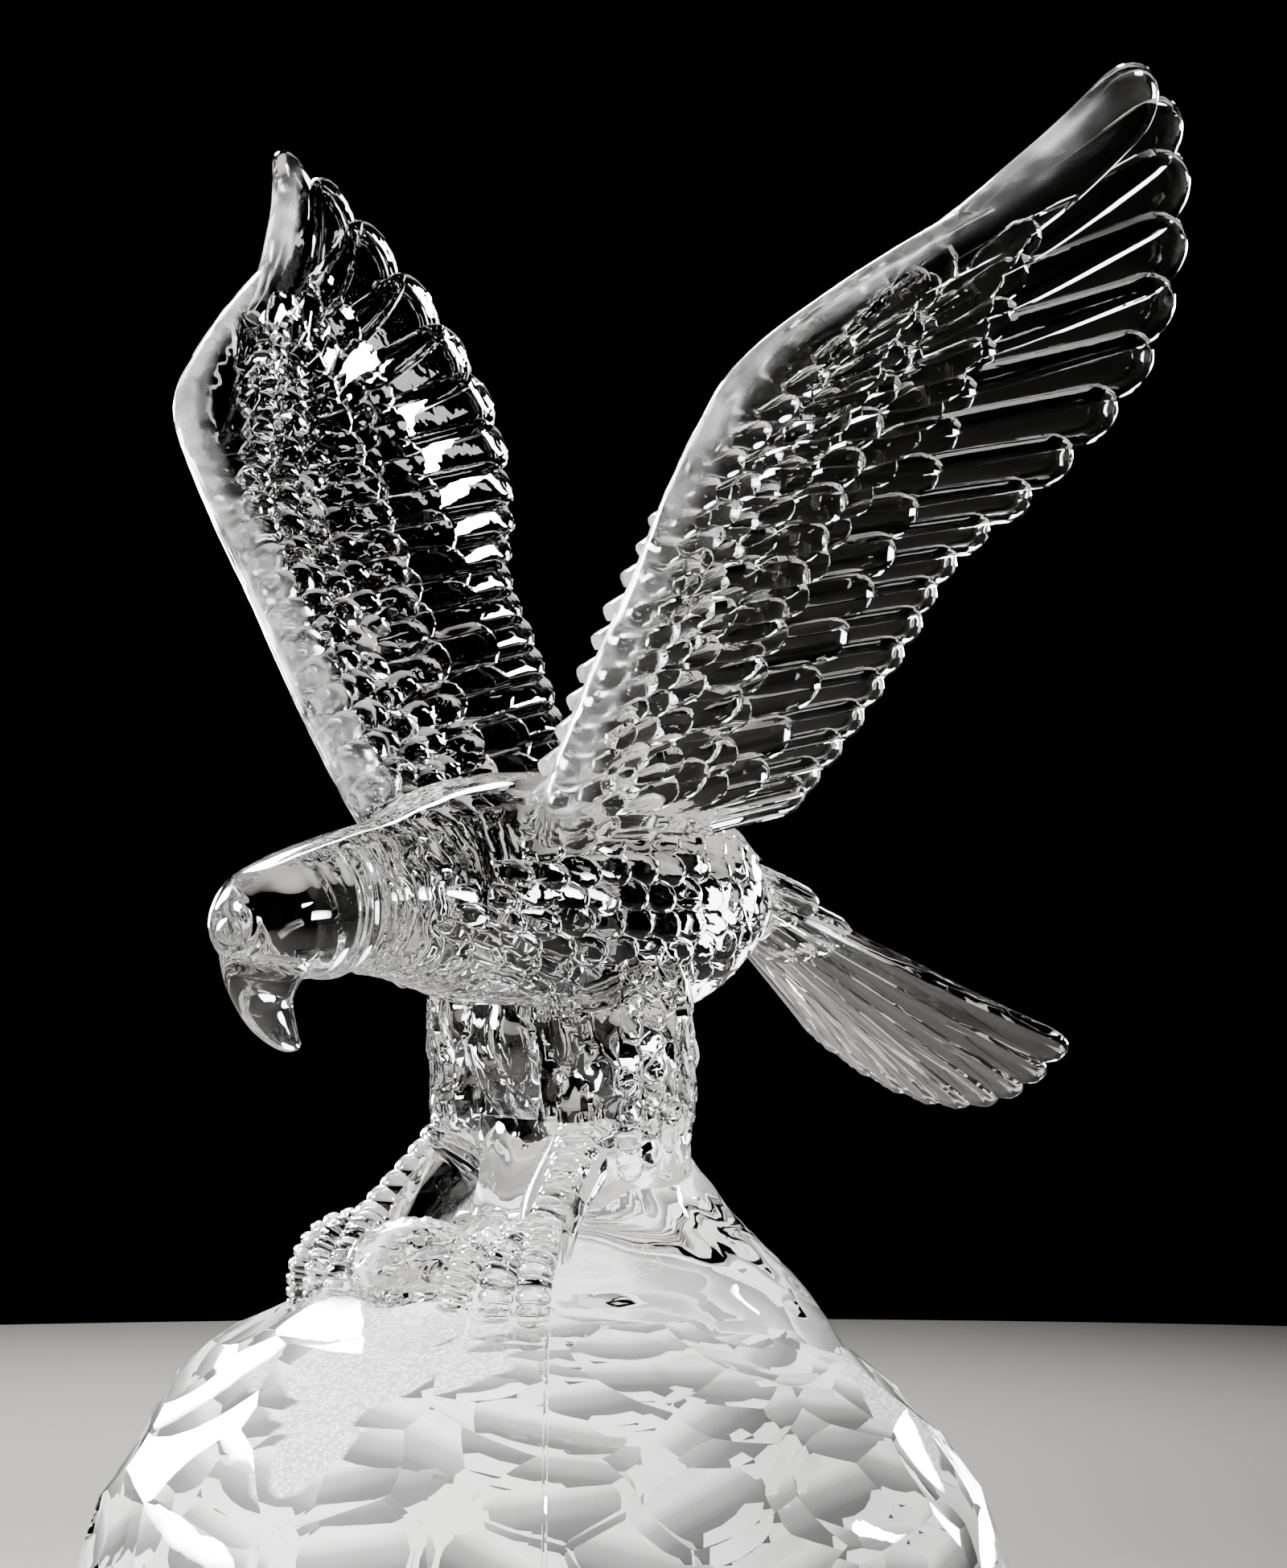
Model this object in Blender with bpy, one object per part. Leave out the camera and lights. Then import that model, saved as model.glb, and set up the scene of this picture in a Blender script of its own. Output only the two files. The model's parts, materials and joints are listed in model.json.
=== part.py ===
"""Clear glass eagle with raised wings, cast in one with the cut rock it stands on, over a white core.

The bird looks along -Y, its left side is +X, and the underside of the rock is at z = 0.
"""

import math
import random

import bmesh
import bpy
from mathutils import Vector

# Rock and core, in metres
ROCK_RADIUS = 0.0775
ROCK_HEIGHT = 0.063
ROCK_AXIS_Y = -0.009
RIM_WALL = 0.015
ROOF_WALL = 0.016
CORE_GAP = 0.0003
CORE_RECESS = 0.0005
FACET_BITE = 0.0012
REAR_BITE = 0.0066

# Bird, in metres: from the toes' tips to the wing tips
BIRD_HEIGHT = 0.197

# The bird's own drawing is in millimetres, with z = 0 at the rock's top and the bird this tall
DRAWN_HEIGHT = 197.0

# Counts
FLIGHT_FEATHERS = 17
GREATER_COVERTS = 12
MEDIAN_COVERTS = 12
TAIL_FEATHERS = 9
ROCK_SIDES = 30
CROWN_SIDES = 13
CORE_SIDES = 20
CORE_STEPS = 6
SEED = 7

# Faces that meet at less than this angle are one face of the casting
FLAT_ANGLE = math.radians(2.0)
# Edges that turn by more than this are shaded sharp
SHARP_ANGLE = math.radians(32.0)

# Curves of the rock: height falls off from the axis as (1 - (r / R) ** DOME_FALL) ** DOME_ROUND
DOME_FALL = 3.0
DOME_ROUND = 0.5
# Slope at the dome's foot, where the curve itself is upright
FOOT_SLOPE = -40.0
# Most that a facet strays round the rock, as a share of its step, and in its lean, in radians
FACET_STRAY = 0.16
LEAN_STRAY = 0.07
# The core's profile is a quarter of an ellipse, squared up by this power
CORE_ROUND = 0.8
# Courses of facets from the foot up: number in each, and share of the rock's height, turn of the first
# facet and share of REAR_BITE
COURSE_COUNTS = (15, 14, 13, 11, 8, 5)
COURSE_SHARES = ((0.10, 0.0, 0.0), (0.34, 0.5, 0.4), (0.58, 0.1, 0.9), (0.76, 0.6, 1.0), (0.90, 0.2, 1.0),
                 (0.975, 0.7, 0.6))

# Body: y, top, bottom, half width and squareness of each section from the face to the rump
BODY = (
    (-78.6, 56.0, 52.0, 2.6, 2.0),
    (-77.4, 59.4, 49.6, 6.0, 2.0),
    (-73.8, 63.2, 47.6, 9.2, 2.1),
    (-67.5, 65.9, 46.2, 11.0, 2.1),
    (-60.5, 68.0, 46.4, 11.5, 2.1),
    (-54.0, 69.6, 47.0, 11.4, 2.1),
    (-46.0, 71.4, 46.2, 12.8, 2.1),
    (-39.0, 74.0, 44.6, 16.0, 2.2),
    (-31.0, 76.8, 42.8, 20.0, 2.4),
    (-21.0, 78.4, 41.0, 22.2, 2.6),
    (-9.0, 78.6, 39.4, 22.6, 2.7),
    (3.0, 77.6, 39.0, 22.0, 2.7),
    (14.0, 75.0, 40.8, 19.4, 2.6),
    (22.0, 71.6, 44.0, 15.6, 2.4),
    (29.0, 68.0, 47.2, 10.6, 2.2),
    (35.0, 65.2, 49.6, 7.6, 2.0),
    (42.0, 60.0, 51.0, 5.6, 2.0),
)

# Beak: y, z, half width and half depth along its hooked centre line
BEAK = (
    (-65.0, 58.5, 9.4, 8.6),
    (-69.6, 53.2, 9.0, 8.4),
    (-71.4, 47.4, 6.8, 6.4),
    (-70.8, 42.6, 4.6, 4.6),
    (-68.6, 39.2, 3.2, 3.4),
    (-66.2, 36.9, 1.9, 2.2),
    (-64.2, 35.9, 0.7, 0.9),
)

# Belly between the thighs: y, z, half width and half depth down to the rock
BELLY = (
    (-8.5, 51.0, 17.0, 13.4),
    (-8.2, 41.0, 17.0, 14.4),
    (-7.6, 32.0, 16.4, 14.4),
    (-6.0, 25.6, 15.0, 12.6),
    (-3.0, 19.6, 13.0, 10.0),
    (-2.0, 13.0, 12.0, 10.0),
)
# Thigh: x, y, z, half width and half depth down the left leg
THIGH = (
    (12.5, -9.0, 53.0, 9.0, 12.0),
    (12.4, -8.2, 43.0, 10.6, 13.4),
    (12.3, -7.2, 34.0, 11.4, 13.6),
    (12.4, -6.8, 26.0, 11.0, 13.2),
    (12.8, -6.6, 18.0, 10.0, 12.4),
    (13.0, -5.0, 9.0, 9.0, 11.0),
)
SHANK = (
    (13.2, -12.0, 25.0, 6.0),
    (14.0, -17.0, 20.0, 4.8),
    (15.0, -23.0, 14.6, 3.9),
    (16.4, -29.6, 8.8, 3.6),
    (17.2, -34.4, 4.0, 4.0),
)
# Toes of the left foot, x, y, z and radius of each joint from the ankle to the claw
TOES = (
    ((17.6, -32.0, 5.6, 3.4), (22.4, -36.4, 3.6, 3.3), (24.4, -39.4, -0.8, 3.1), (24.8, -40.2, -6.4, 2.7),
     (24.8, -39.6, -9.6, 1.6)),
    ((17.2, -33.0, 5.4, 3.4), (17.8, -39.0, 3.4, 3.3), (18.2, -42.2, -1.0, 3.1), (18.3, -43.2, -6.6, 2.7),
     (18.3, -42.8, -9.8, 1.6)),
    ((16.4, -32.6, 5.4, 3.4), (12.8, -39.0, 3.4, 3.3), (11.6, -43.2, -1.0, 3.1), (11.2, -44.8, -6.6, 2.7),
     (11.2, -44.4, -9.8, 1.6)),
)
# Rise of the rock behind the legs: radius and height of each turned ring
CROWN = ((7.0, 23.0), (16.0, 20.6), (20.4, 15.4), (25.0, 8.4), (31.6, 1.6), (38.4, -5.2), (45.4, -17.0))
CROWN_Y = -5.0
CROWN_STRAY = 0.04
KNOB = (0.0, -42.5, -0.6, 8.2)

# Wing plane of the left wing: the shoulder, and unit steps up the arm and back along the chord
SHOULDER = Vector((22.5, -30.0, 73.5))
UP_ARM = Vector((0.539, -0.057, 0.841)).normalized()
BACK = Vector((0.105, 0.994, 0.0)).normalized()
OUT = BACK.cross(UP_ARM)
CAMBER = 2.4
WING_CHORD = 88.0
# Arm and hand: leading point, rear point and thickness at the leading edge
ARM = (
    ((-15.0, 1.0), (-15.0, 38.0), 9.6),
    ((0.0, -2.4), (0.0, 35.0), 9.2),
    ((22.0, -3.0), (19.0, 30.0), 8.6),
    ((40.0, -2.2), (38.0, 30.0), 8.0),
    ((56.0, -2.2), (54.0, 32.0), 7.4),
    ((68.0, -1.4), (66.0, 37.0), 6.8),
    ((76.0, 0.0), (76.0, 42.0), 6.4),
    ((83.0, 4.4), (84.0, 44.0), 6.0),
    ((90.0, 12.2), (92.0, 43.0), 5.6),
    ((96.4, 20.4), (98.0, 42.0), 5.2),
    ((102.4, 29.0), (104.0, 43.0), 4.8),
    ((109.0, 39.2), (109.6, 47.0), 4.4),
)
ARM_REAR_THICKNESS = 3.2
# The arm's section is an ellipse, squared up by this power
ARM_ROUND = 0.8
# Tips of every second flight feather, from the wing tip inwards, and roots of every fourth
FLIGHT_TIPS = ((134.6, 63.4), (126.6, 73.6), (106.4, 84.0), (84.4, 87.0), (62.8, 77.8), (46.2, 65.8),
               (31.2, 63.2), (15.2, 59.4), (1.6, 54.0))
FLIGHT_ROOTS = ((94.0, 27.0), (78.0, 18.0), (50.0, 14.0), (22.0, 13.0), (-8.0, 14.0))
FLIGHT_THICKNESS = (3.6, 2.2)
FLIGHT_PITCH = math.radians(8.0)
FLIGHT_BEND = 4.0
# Half width of a flight feather as a share of the step to the next one, and the least it may be
FLIGHT_OVERLAP = 0.62
FLIGHT_LEAST = 4.2
# Tips of the greater and the median coverts, spaced evenly along these lines
GREATER_TIPS = ((108.0, 49.0), (96.0, 49.0), (82.0, 52.0), (68.0, 47.0), (54.0, 40.0), (38.0, 37.0),
                (20.0, 37.0), (4.0, 37.0))
MEDIAN_TIPS = ((98.0, 33.0), (89.0, 30.0), (79.0, 28.0), (66.0, 23.0), (50.0, 18.6), (34.0, 20.0),
               (18.0, 22.0), (4.0, 25.0))
COVERT_HALF_WIDTH = 4.6
# Rows of coverts: name, tips, number, length, and thickness at the root and at the tip
COVERTS = (
    ("greater", GREATER_TIPS, GREATER_COVERTS, 22.0, (4.0, 6.6)),
    ("median", MEDIAN_TIPS, MEDIAN_COVERTS, 14.0, (5.0, 9.0)),
)

# Outline of every feather: length of its round end in half widths, place of the last ring as a share of the
# length, how closely the rings crowd towards the tip, and the share of the thickness left at the very tip
ROUND_END = 1.15
LAST_RING_SHARE = 0.995
RING_CROWDING = 0.85
TIP_SHARE = 0.4

# Tail: root and the line of the feathers' tips, from the middle out to the left edge
TAIL_ROOT = (5.0, 33.0, 56.5)
TAIL_SIDE_TIP = (27.0, 86.4, 30.6)
TAIL_MIDDLE_TIP = (90.4, 21.0)
TAIL_THICKNESS = (4.4, 2.4)
TAIL_BEND = 2.0
TAIL_HALF_WIDTH = 4.8
# Rise of the outermost roots, and roll of the outermost feathers in radians
TAIL_DISH = 2.0
TAIL_ROLL = 0.42


def clear_scene():
    for thing in list(bpy.data.objects):
        bpy.data.objects.remove(thing)


def make_collection(name):
    group = bpy.data.collections.new(name)
    bpy.context.scene.collection.children.link(group)
    return group


def make_material(name, colour, roughness, transmission=0.0):
    material = bpy.data.materials.new(name)
    material.use_nodes = True
    shader = material.node_tree.nodes["Principled BSDF"]
    shader.inputs["Base Color"].default_value = (*colour, 1.0)
    shader.inputs["Roughness"].default_value = roughness
    shader.inputs["Metallic"].default_value = 0.0
    shader.inputs["Transmission Weight"].default_value = transmission
    return material


def spline(rows, share):
    """Row of numbers at a share (0 to 1) of the way along a smooth curve through the rows."""
    spot = max(0.0, min(1.0, share)) * (len(rows) - 1)
    first = min(int(spot), len(rows) - 2)
    t = spot - first
    before, start, end, after = (rows[max(0, min(len(rows) - 1, first + k))] for k in (-1, 0, 1, 2))
    return tuple(
        0.5 * (2 * b + (c - a) * t + (2 * a - 5 * b + 4 * c - d) * t**2 + (3 * b - a - 3 * c + d) * t**3)
        for a, b, c, d in zip(before, start, end, after)
    )


def on_bird(point):
    """Place of a point of the bird's drawing on the rock, in metres."""
    scale = BIRD_HEIGHT / DRAWN_HEIGHT
    x, y, z = point
    return Vector((x * scale, y * scale, z * scale + ROCK_HEIGHT))


def on_wing(point):
    """Point of the bird's drawing for a place on the left wing: up the arm, back, and out of its face."""
    arm, back, out = point
    hollow = CAMBER * math.sin(math.pi * max(0.0, min(1.0, back / WING_CHORD)))
    return on_bird(SHOULDER + UP_ARM * arm + BACK * back + OUT * (out - hollow))


def loft(name, rings, group):
    """Closed skin through rings of equal length, with a fan of triangles over each end."""
    mesh = bpy.data.meshes.new(name)
    shape = bmesh.new()
    rows = [[shape.verts.new(point) for point in ring] for ring in rings]
    count = len(rows[0])
    for low, high in zip(rows, rows[1:]):
        for k in range(count):
            after = (k + 1) % count
            shape.faces.new((low[k], low[after], high[after], high[k]))
    for row in (rows[0], rows[-1]):
        middle = shape.verts.new(sum((v.co for v in row), Vector()) / count)
        for k in range(count):
            shape.faces.new((row[k], row[(k + 1) % count], middle))
    bmesh.ops.recalc_face_normals(shape, faces=shape.faces)
    shape.to_mesh(mesh)
    shape.free()
    thing = bpy.data.objects.new(name, mesh)
    group.objects.link(thing)
    return thing


def power(value, exponent):
    return math.copysign(abs(value) ** exponent, value)


def rows_along(rows, count):
    """Rows at even shares of the way along a table."""
    return [spline(rows, i / count) for i in range(count + 1)]


def oval(count, squareness=2.0):
    """Corners of a unit oval, counted round from its side."""
    corners = []
    for k in range(count):
        angle = 2 * math.pi * k / count
        corners.append((power(math.cos(angle), 2 / squareness), power(math.sin(angle), 2 / squareness)))
    return corners


def body(group, along=24, around=14):
    rings = []
    for y, top, bottom, half_width, squareness in rows_along(BODY, along):
        middle = (top + bottom) / 2
        half_height = (top - bottom) / 2
        corners = oval(around, squareness)
        rings.append([on_bird((half_width * a, y, middle + half_height * b)) for a, b in corners])
    return loft("body", rings, group)


def tube(name, stations, group, around, upright=False):
    """Skin round a centre line of (x, y, z, half width, half depth), each ring square to the line."""
    rings = []
    for i, (x, y, z, half_width, half_depth) in enumerate(stations):
        before = Vector(stations[max(0, i - 1)][:3])
        after = Vector(stations[min(len(stations) - 1, i + 1)][:3])
        run = Vector((0, 0, -1)) if upright else (after - before).normalized()
        side = Vector((1, 0, 0))
        side = (side - run * side.dot(run)).normalized()
        depth = run.cross(side)
        centre = Vector((x, y, z))
        wide = side * half_width
        deep = depth * half_depth
        rings.append([on_bird(centre + wide * a + deep * b) for a, b in oval(around)])
    return loft(name, rings, group)


def beak(group, along=8, around=10):
    stations = [(0.0, y, z, wide, deep) for y, z, wide, deep in rows_along(BEAK, along)]
    return tube("beak", stations, group, around)


def belly(group, along=6, around=12):
    stations = [(0.0, y, z, wide, deep) for y, z, wide, deep in rows_along(BELLY, along)]
    return tube("belly", stations, group, around, upright=True)


def mirrored(stations, side):
    return [(side * row[0], *row[1:]) for row in stations]


def leg(group, side, thigh_grid=(6, 10), shank_grid=(5, 8), toe_grid=(6, 6)):
    """Thigh, shank and front toes of one side, each grid being (along, around)."""
    thigh = rows_along(THIGH, thigh_grid[0])
    tube("thigh", mirrored(thigh, side), group, thigh_grid[1], upright=True)
    shank = [(*row, row[3]) for row in rows_along(SHANK, shank_grid[0])]
    tube("shank", mirrored(shank, side), group, shank_grid[1])
    for joints in TOES:
        toe = [(*row, row[3]) for row in rows_along(joints, toe_grid[0])]
        tube("toe", mirrored(toe, side), group, toe_grid[1])


def blade(name, place, root, tip, half_width, thickness, group, pitch=0.0, bend=0.0, around=4, along=5,
          root_share=0.5):
    """Flat feather with a rounded end, from a root to a tip that are places (arm, back) on a surface."""
    start = Vector((*root, 0.0))
    end = Vector((*tip, 0.0))
    run = end - start
    length = run.length
    run.normalize()
    across = Vector((-run.y, run.x, 0.0))
    round_from = 1 - ROUND_END * half_width / length
    rings = []
    for i in range(along + 1):
        share = LAST_RING_SHARE * math.sin(0.5 * math.pi * i / along) ** RING_CROWDING
        half = half_width * (root_share + (1 - root_share) * min(1.0, share / 0.5))
        if share > round_from:
            half *= math.sqrt(1 - ((share - round_from) / (1 - round_from)) ** 2)
        deep = 0.5 * (thickness[0] + (thickness[1] - thickness[0]) * share)
        deep *= TIP_SHARE + (1 - TIP_SHARE) * min(1.0, half / half_width)
        ring = []
        for a, b in oval(around):
            spot = start + run * share * length + across * (half * a + bend * math.sin(math.pi * share))
            ring.append(place((spot.x, spot.y, deep * b + half * a * math.sin(pitch))))
        rings.append(ring)
    return loft(name, rings, group)


def arm(group, place, along=12, around=10):
    """Thick leading part of a wing, from the shoulder to the hand."""
    rows = [(*lead, *rear, thick) for lead, rear, thick in ARM]
    rings = []
    for lead_arm, lead_back, rear_arm, rear_back, thick in rows_along(rows, along):
        ring = []
        for k in range(around):
            angle = 2 * math.pi * k / around
            share = 0.5 * (1 - math.cos(angle))
            deep = 0.5 * (thick + (ARM_REAR_THICKNESS - thick) * share) * power(math.sin(angle), ARM_ROUND)
            ring.append(place((
                lead_arm + (rear_arm - lead_arm) * share,
                lead_back + (rear_back - lead_back) * share,
                deep,
            )))
        rings.append(ring)
    return loft("arm", rings, group)


def wing(group, side):
    def place(point):
        spot = on_wing(point)
        return Vector((side * spot.x, spot.y, spot.z))

    arm(group, place)
    last = FLIGHT_FEATHERS - 1
    tips = [Vector(spline(FLIGHT_TIPS, i / last)) for i in range(FLIGHT_FEATHERS)]
    roots = [Vector(spline(FLIGHT_ROOTS, i / last)) for i in range(FLIGHT_FEATHERS)]
    for i, (root, tip) in enumerate(zip(roots, tips)):
        near = tips[max(0, i - 1)]
        far = tips[min(last, i + 1)]
        run = (tip - root).normalized()
        step = (far - near) / (2 if 0 < i < last else 1)
        gap = abs(step.x * run.y - step.y * run.x)
        bend = FLIGHT_BEND * max(0.0, 1 - 2 * i / last)
        half_width = max(FLIGHT_LEAST, FLIGHT_OVERLAP * gap)
        blade("flight", place, root, tip, half_width, FLIGHT_THICKNESS, group, FLIGHT_PITCH, bend)
    for name, line, count, length, thickness in COVERTS:
        for i in range(count):
            share = i / (count - 1)
            tip = Vector(spline(line, share))
            run = Vector(spline(FLIGHT_TIPS, share)) - Vector(spline(FLIGHT_ROOTS, share))
            root = tip - run.normalized() * length
            blade(name, place, root, tip, COVERT_HALF_WIDTH, thickness, group, FLIGHT_PITCH,
                  around=6, along=3)


def tail(group):
    root_x, root_y, root_z = TAIL_ROOT
    tip_x, tip_y, tip_z = TAIL_SIDE_TIP
    middle_y, middle_z = TAIL_MIDDLE_TIP
    half = (TAIL_FEATHERS - 1) / 2
    for i in range(TAIL_FEATHERS):
        share = (i - half) / half
        start = Vector((root_x * share, root_y, root_z + TAIL_DISH * share**2))
        end = Vector((tip_x * share, middle_y + (tip_y - middle_y) * share**2,
                      middle_z + (tip_z - middle_z) * share**2))
        run = (end - start).normalized()
        roll = TAIL_ROLL * share
        across = Vector((math.cos(roll), 0, math.sin(roll)))
        across = (across - run * across.dot(run)).normalized()
        lift = run.cross(across)

        def place(point, start=start, run=run, across=across, lift=lift):
            return on_bird(start + run * point[0] + across * point[1] + lift * point[2])

        blade("tail", place, (0.0, 0.0), ((end - start).length, 0.0), TAIL_HALF_WIDTH, TAIL_THICKNESS, group,
              bend=-TAIL_BEND * share)


def dome_height(share):
    """Height of the rock, as a share, at a share of its radius."""
    return max(0.0, 1 - share**DOME_FALL) ** DOME_ROUND


def dome_slope(share, step=1e-3):
    """Slope of the dome at a share of its radius, both height and radius being shares."""
    if share > 1 - step:
        return FOOT_SLOPE
    return (dome_height(share + step) - dome_height(share - step)) / (2 * step)


def facet_planes():
    """Planes that cut the rock's facets: a point on each and the way it faces, rock centred on its axis."""
    draw = random.Random(SEED)
    planes = []
    for count, (height, turn, rear) in zip(COURSE_COUNTS, COURSE_SHARES):
        radius = (1 - height ** (1 / DOME_ROUND)) ** (1 / DOME_FALL)
        slope = dome_slope(radius)
        for k in range(count):
            angle = 2 * math.pi * (k + turn + draw.uniform(-FACET_STRAY, FACET_STRAY)) / count
            lean = math.atan2(-slope * ROCK_HEIGHT, ROCK_RADIUS) + draw.uniform(-LEAN_STRAY, LEAN_STRAY)
            ahead = Vector((math.cos(angle), math.sin(angle), 0))
            up = Vector((0, 0, 1))
            facing = ahead * math.sin(lean) + up * math.cos(lean)
            point = ahead * radius * ROCK_RADIUS + up * height * ROCK_HEIGHT
            bite = FACET_BITE * draw.uniform(0.2, 1.0) + REAR_BITE * rear * 0.5 * (1 + math.sin(angle))
            planes.append((point - facing * bite, facing))
    return planes


def rock(group):
    """Block cut down to the rock by one flat cut for each facet."""
    bpy.ops.mesh.primitive_cylinder_add(vertices=ROCK_SIDES, radius=ROCK_RADIUS, depth=ROCK_HEIGHT,
                                        location=(0, 0, ROCK_HEIGHT / 2))
    thing = bpy.context.object
    thing.name = "rock"
    thing.data.transform(thing.matrix_world)
    thing.matrix_world.identity()
    shape = bmesh.new()
    shape.from_mesh(thing.data)
    for point, facing in facet_planes():
        everything = shape.verts[:] + shape.edges[:] + shape.faces[:]
        cut = bmesh.ops.bisect_plane(shape, geom=everything, plane_co=point, plane_no=facing,
                                     clear_outer=True, dist=1e-7)
        edges = [e for e in cut["geom_cut"] if isinstance(e, bmesh.types.BMEdge)]
        if len(edges) > 2:
            bmesh.ops.edgenet_fill(shape, edges=edges)
    bmesh.ops.remove_doubles(shape, verts=shape.verts, dist=2e-5)
    bmesh.ops.recalc_face_normals(shape, faces=shape.faces)
    bmesh.ops.translate(shape, verts=shape.verts, vec=(0, ROCK_AXIS_Y, 0))
    shape.to_mesh(thing.data)
    shape.free()
    for owner in list(thing.users_collection):
        owner.objects.unlink(thing)
    group.objects.link(thing)
    return thing


def crown(group):
    """Rise of the rock that carries the bird's legs from behind."""
    draw = random.Random(SEED)
    rings = []
    for i, (radius, height) in enumerate(CROWN):
        ring = []
        for k in range(CROWN_SIDES):
            angle = 2 * math.pi * (k + 0.5 * (i % 2)) / CROWN_SIDES
            reach = radius * (1 + draw.uniform(-CROWN_STRAY, CROWN_STRAY))
            ring.append(on_bird((reach * math.cos(angle), CROWN_Y + reach * math.sin(angle), height)))
        rings.append(ring)
    return loft("crown", rings, group)


def knob(group):
    x, y, z, radius = KNOB
    bpy.ops.mesh.primitive_ico_sphere_add(subdivisions=2, radius=radius * BIRD_HEIGHT / DRAWN_HEIGHT)
    thing = bpy.context.object
    thing.name = "knob"
    thing.data.transform(thing.matrix_world)
    thing.location = on_bird((x, y, z))
    for owner in list(thing.users_collection):
        owner.objects.unlink(thing)
    group.objects.link(thing)
    return thing


def core_solid(name, gap, floor, group):
    """Turned dome that fills the rock's hollow, drawn in on every side by a gap."""
    radius = ROCK_RADIUS - RIM_WALL - gap
    height = ROCK_HEIGHT - ROOF_WALL - gap
    profile = [(radius, floor)]
    for k in range(1, CORE_STEPS):
        rise = 0.5 * math.pi * k / CORE_STEPS
        profile.append((radius * math.cos(rise) ** CORE_ROUND, height * math.sin(rise)))
    rings = []
    for reach, level in profile:
        rings.append([Vector((reach * a, ROCK_AXIS_Y + reach * b, level)) for a, b in oval(CORE_SIDES)])
    return loft(name, rings, group)


def boolean(thing, operation, operands):
    """Keep a Boolean step on a solid, with every solid of a collection as its operand."""
    step = thing.modifiers.new(operation.lower(), "BOOLEAN")
    step.operation = operation
    step.solver = "EXACT"
    step.operand_type = "COLLECTION"
    step.collection = operands


def dissolve_flats(thing):
    """Merge the faces that a Boolean left lying in one plane."""
    step = thing.modifiers.new("flats", "DECIMATE")
    step.decimate_type = "DISSOLVE"
    step.angle_limit = FLAT_ANGLE
    step.delimit = set()


def hide(group):
    for thing in group.objects:
        thing.hide_render = True
        thing.display_type = "WIRE"


def settle(thing, group, material):
    """Turn a solid with its steps into a plain one, shade it and put it in the object's collection."""
    graph = bpy.context.evaluated_depsgraph_get()
    mesh = bpy.data.meshes.new_from_object(thing.evaluated_get(graph))
    mesh.name = thing.name
    thing.modifiers.clear()
    thing.data = mesh
    mesh.materials.clear()
    mesh.materials.append(material)
    mesh.shade_smooth()
    mesh.set_sharp_from_angle(angle=SHARP_ANGLE)
    for owner in list(thing.users_collection):
        owner.objects.unlink(thing)
    group.objects.link(thing)


def centre(group):
    """Move the solids so that the middle of their box stands over the origin."""
    corners = [thing.matrix_world @ v.co for thing in group.objects for v in thing.data.vertices]
    middle = Vector((0, 0.5 * (min(c.y for c in corners) + max(c.y for c in corners)), 0))
    for thing in group.objects:
        thing.location -= middle


def main():
    clear_scene()
    figurine = make_collection("glass_eagle_figurine")
    shapes = make_collection("shapes")
    hollow = make_collection("hollow")
    glass = make_material("clear_glass", (0.97, 0.98, 1.0), 0.02, transmission=1.0)
    white = make_material("white_filling", (0.9, 0.9, 0.88), 0.6)
    eagle = rock(shapes)
    shapes.objects.unlink(eagle)
    figurine.objects.link(eagle)
    eagle.name = "glass_eagle"
    crown(shapes)
    knob(shapes)
    body(shapes)
    belly(shapes)
    beak(shapes)
    tail(shapes)
    for side in (1, -1):
        leg(shapes, side)
        wing(shapes, side)
    core_solid("hollow_cutter", 0.0, -CORE_GAP, hollow)
    boolean(eagle, "UNION", shapes)
    boolean(eagle, "DIFFERENCE", hollow)
    dissolve_flats(eagle)
    settle(eagle, figurine, glass)
    core = core_solid("white_core", CORE_GAP, CORE_RECESS, figurine)
    settle(core, figurine, white)
    centre(figurine)
    hide(shapes)
    hide(hollow)


main()
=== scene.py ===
# %% [markdown]
# This lesson dresses one ornament: an eagle with raised wings in clear glass, cast in one piece with the
# cut rock that it stands on, over a white filling in the rock's hollow underside. The solids come in as a
# fixed frame. Everything made below sits on that frame, in metres, with the bird looking along -Y.

# %% Load the solids
import json
import math
import random

import bmesh
import bpy
from mathutils import Matrix, Vector
from mathutils.bvhtree import BVHTree
from mathutils.noise import noise

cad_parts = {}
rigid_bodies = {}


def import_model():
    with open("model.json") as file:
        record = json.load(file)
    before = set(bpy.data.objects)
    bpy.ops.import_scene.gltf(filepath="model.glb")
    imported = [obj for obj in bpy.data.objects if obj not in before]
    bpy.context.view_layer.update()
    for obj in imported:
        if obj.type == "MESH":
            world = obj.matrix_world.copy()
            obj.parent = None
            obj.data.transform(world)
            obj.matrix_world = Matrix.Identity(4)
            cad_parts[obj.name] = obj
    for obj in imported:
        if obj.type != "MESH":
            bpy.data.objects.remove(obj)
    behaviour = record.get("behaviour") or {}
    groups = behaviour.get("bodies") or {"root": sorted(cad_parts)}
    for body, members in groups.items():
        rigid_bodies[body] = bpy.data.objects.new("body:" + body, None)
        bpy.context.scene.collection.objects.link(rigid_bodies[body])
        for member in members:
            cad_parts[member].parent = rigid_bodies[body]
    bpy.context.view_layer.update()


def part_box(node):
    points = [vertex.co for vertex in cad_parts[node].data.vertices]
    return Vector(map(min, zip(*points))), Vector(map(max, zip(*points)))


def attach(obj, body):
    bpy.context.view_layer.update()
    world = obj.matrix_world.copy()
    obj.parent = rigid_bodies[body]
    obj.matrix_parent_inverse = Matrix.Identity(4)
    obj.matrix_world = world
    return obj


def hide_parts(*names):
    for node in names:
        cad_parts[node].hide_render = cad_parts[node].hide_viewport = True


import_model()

# %% [markdown]
# The real ornament is about 25 cm tall, and small things are easier to think of in millimetres. The bird
# was drawn so, with z = 0 at the rock's top, and its points are turned into metres in one place. The rock's
# axis could be a number too, but it is read from the white core, which is turned about it, so it can't
# stray.

# %% Places on the drawing
MM = 0.001
ROCK_HEIGHT = 63.0
ROCK_AXIS_Y = -9.0
core_low, core_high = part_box("white_core")
axis_y = 0.5 * (core_low.y + core_high.y)


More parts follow.
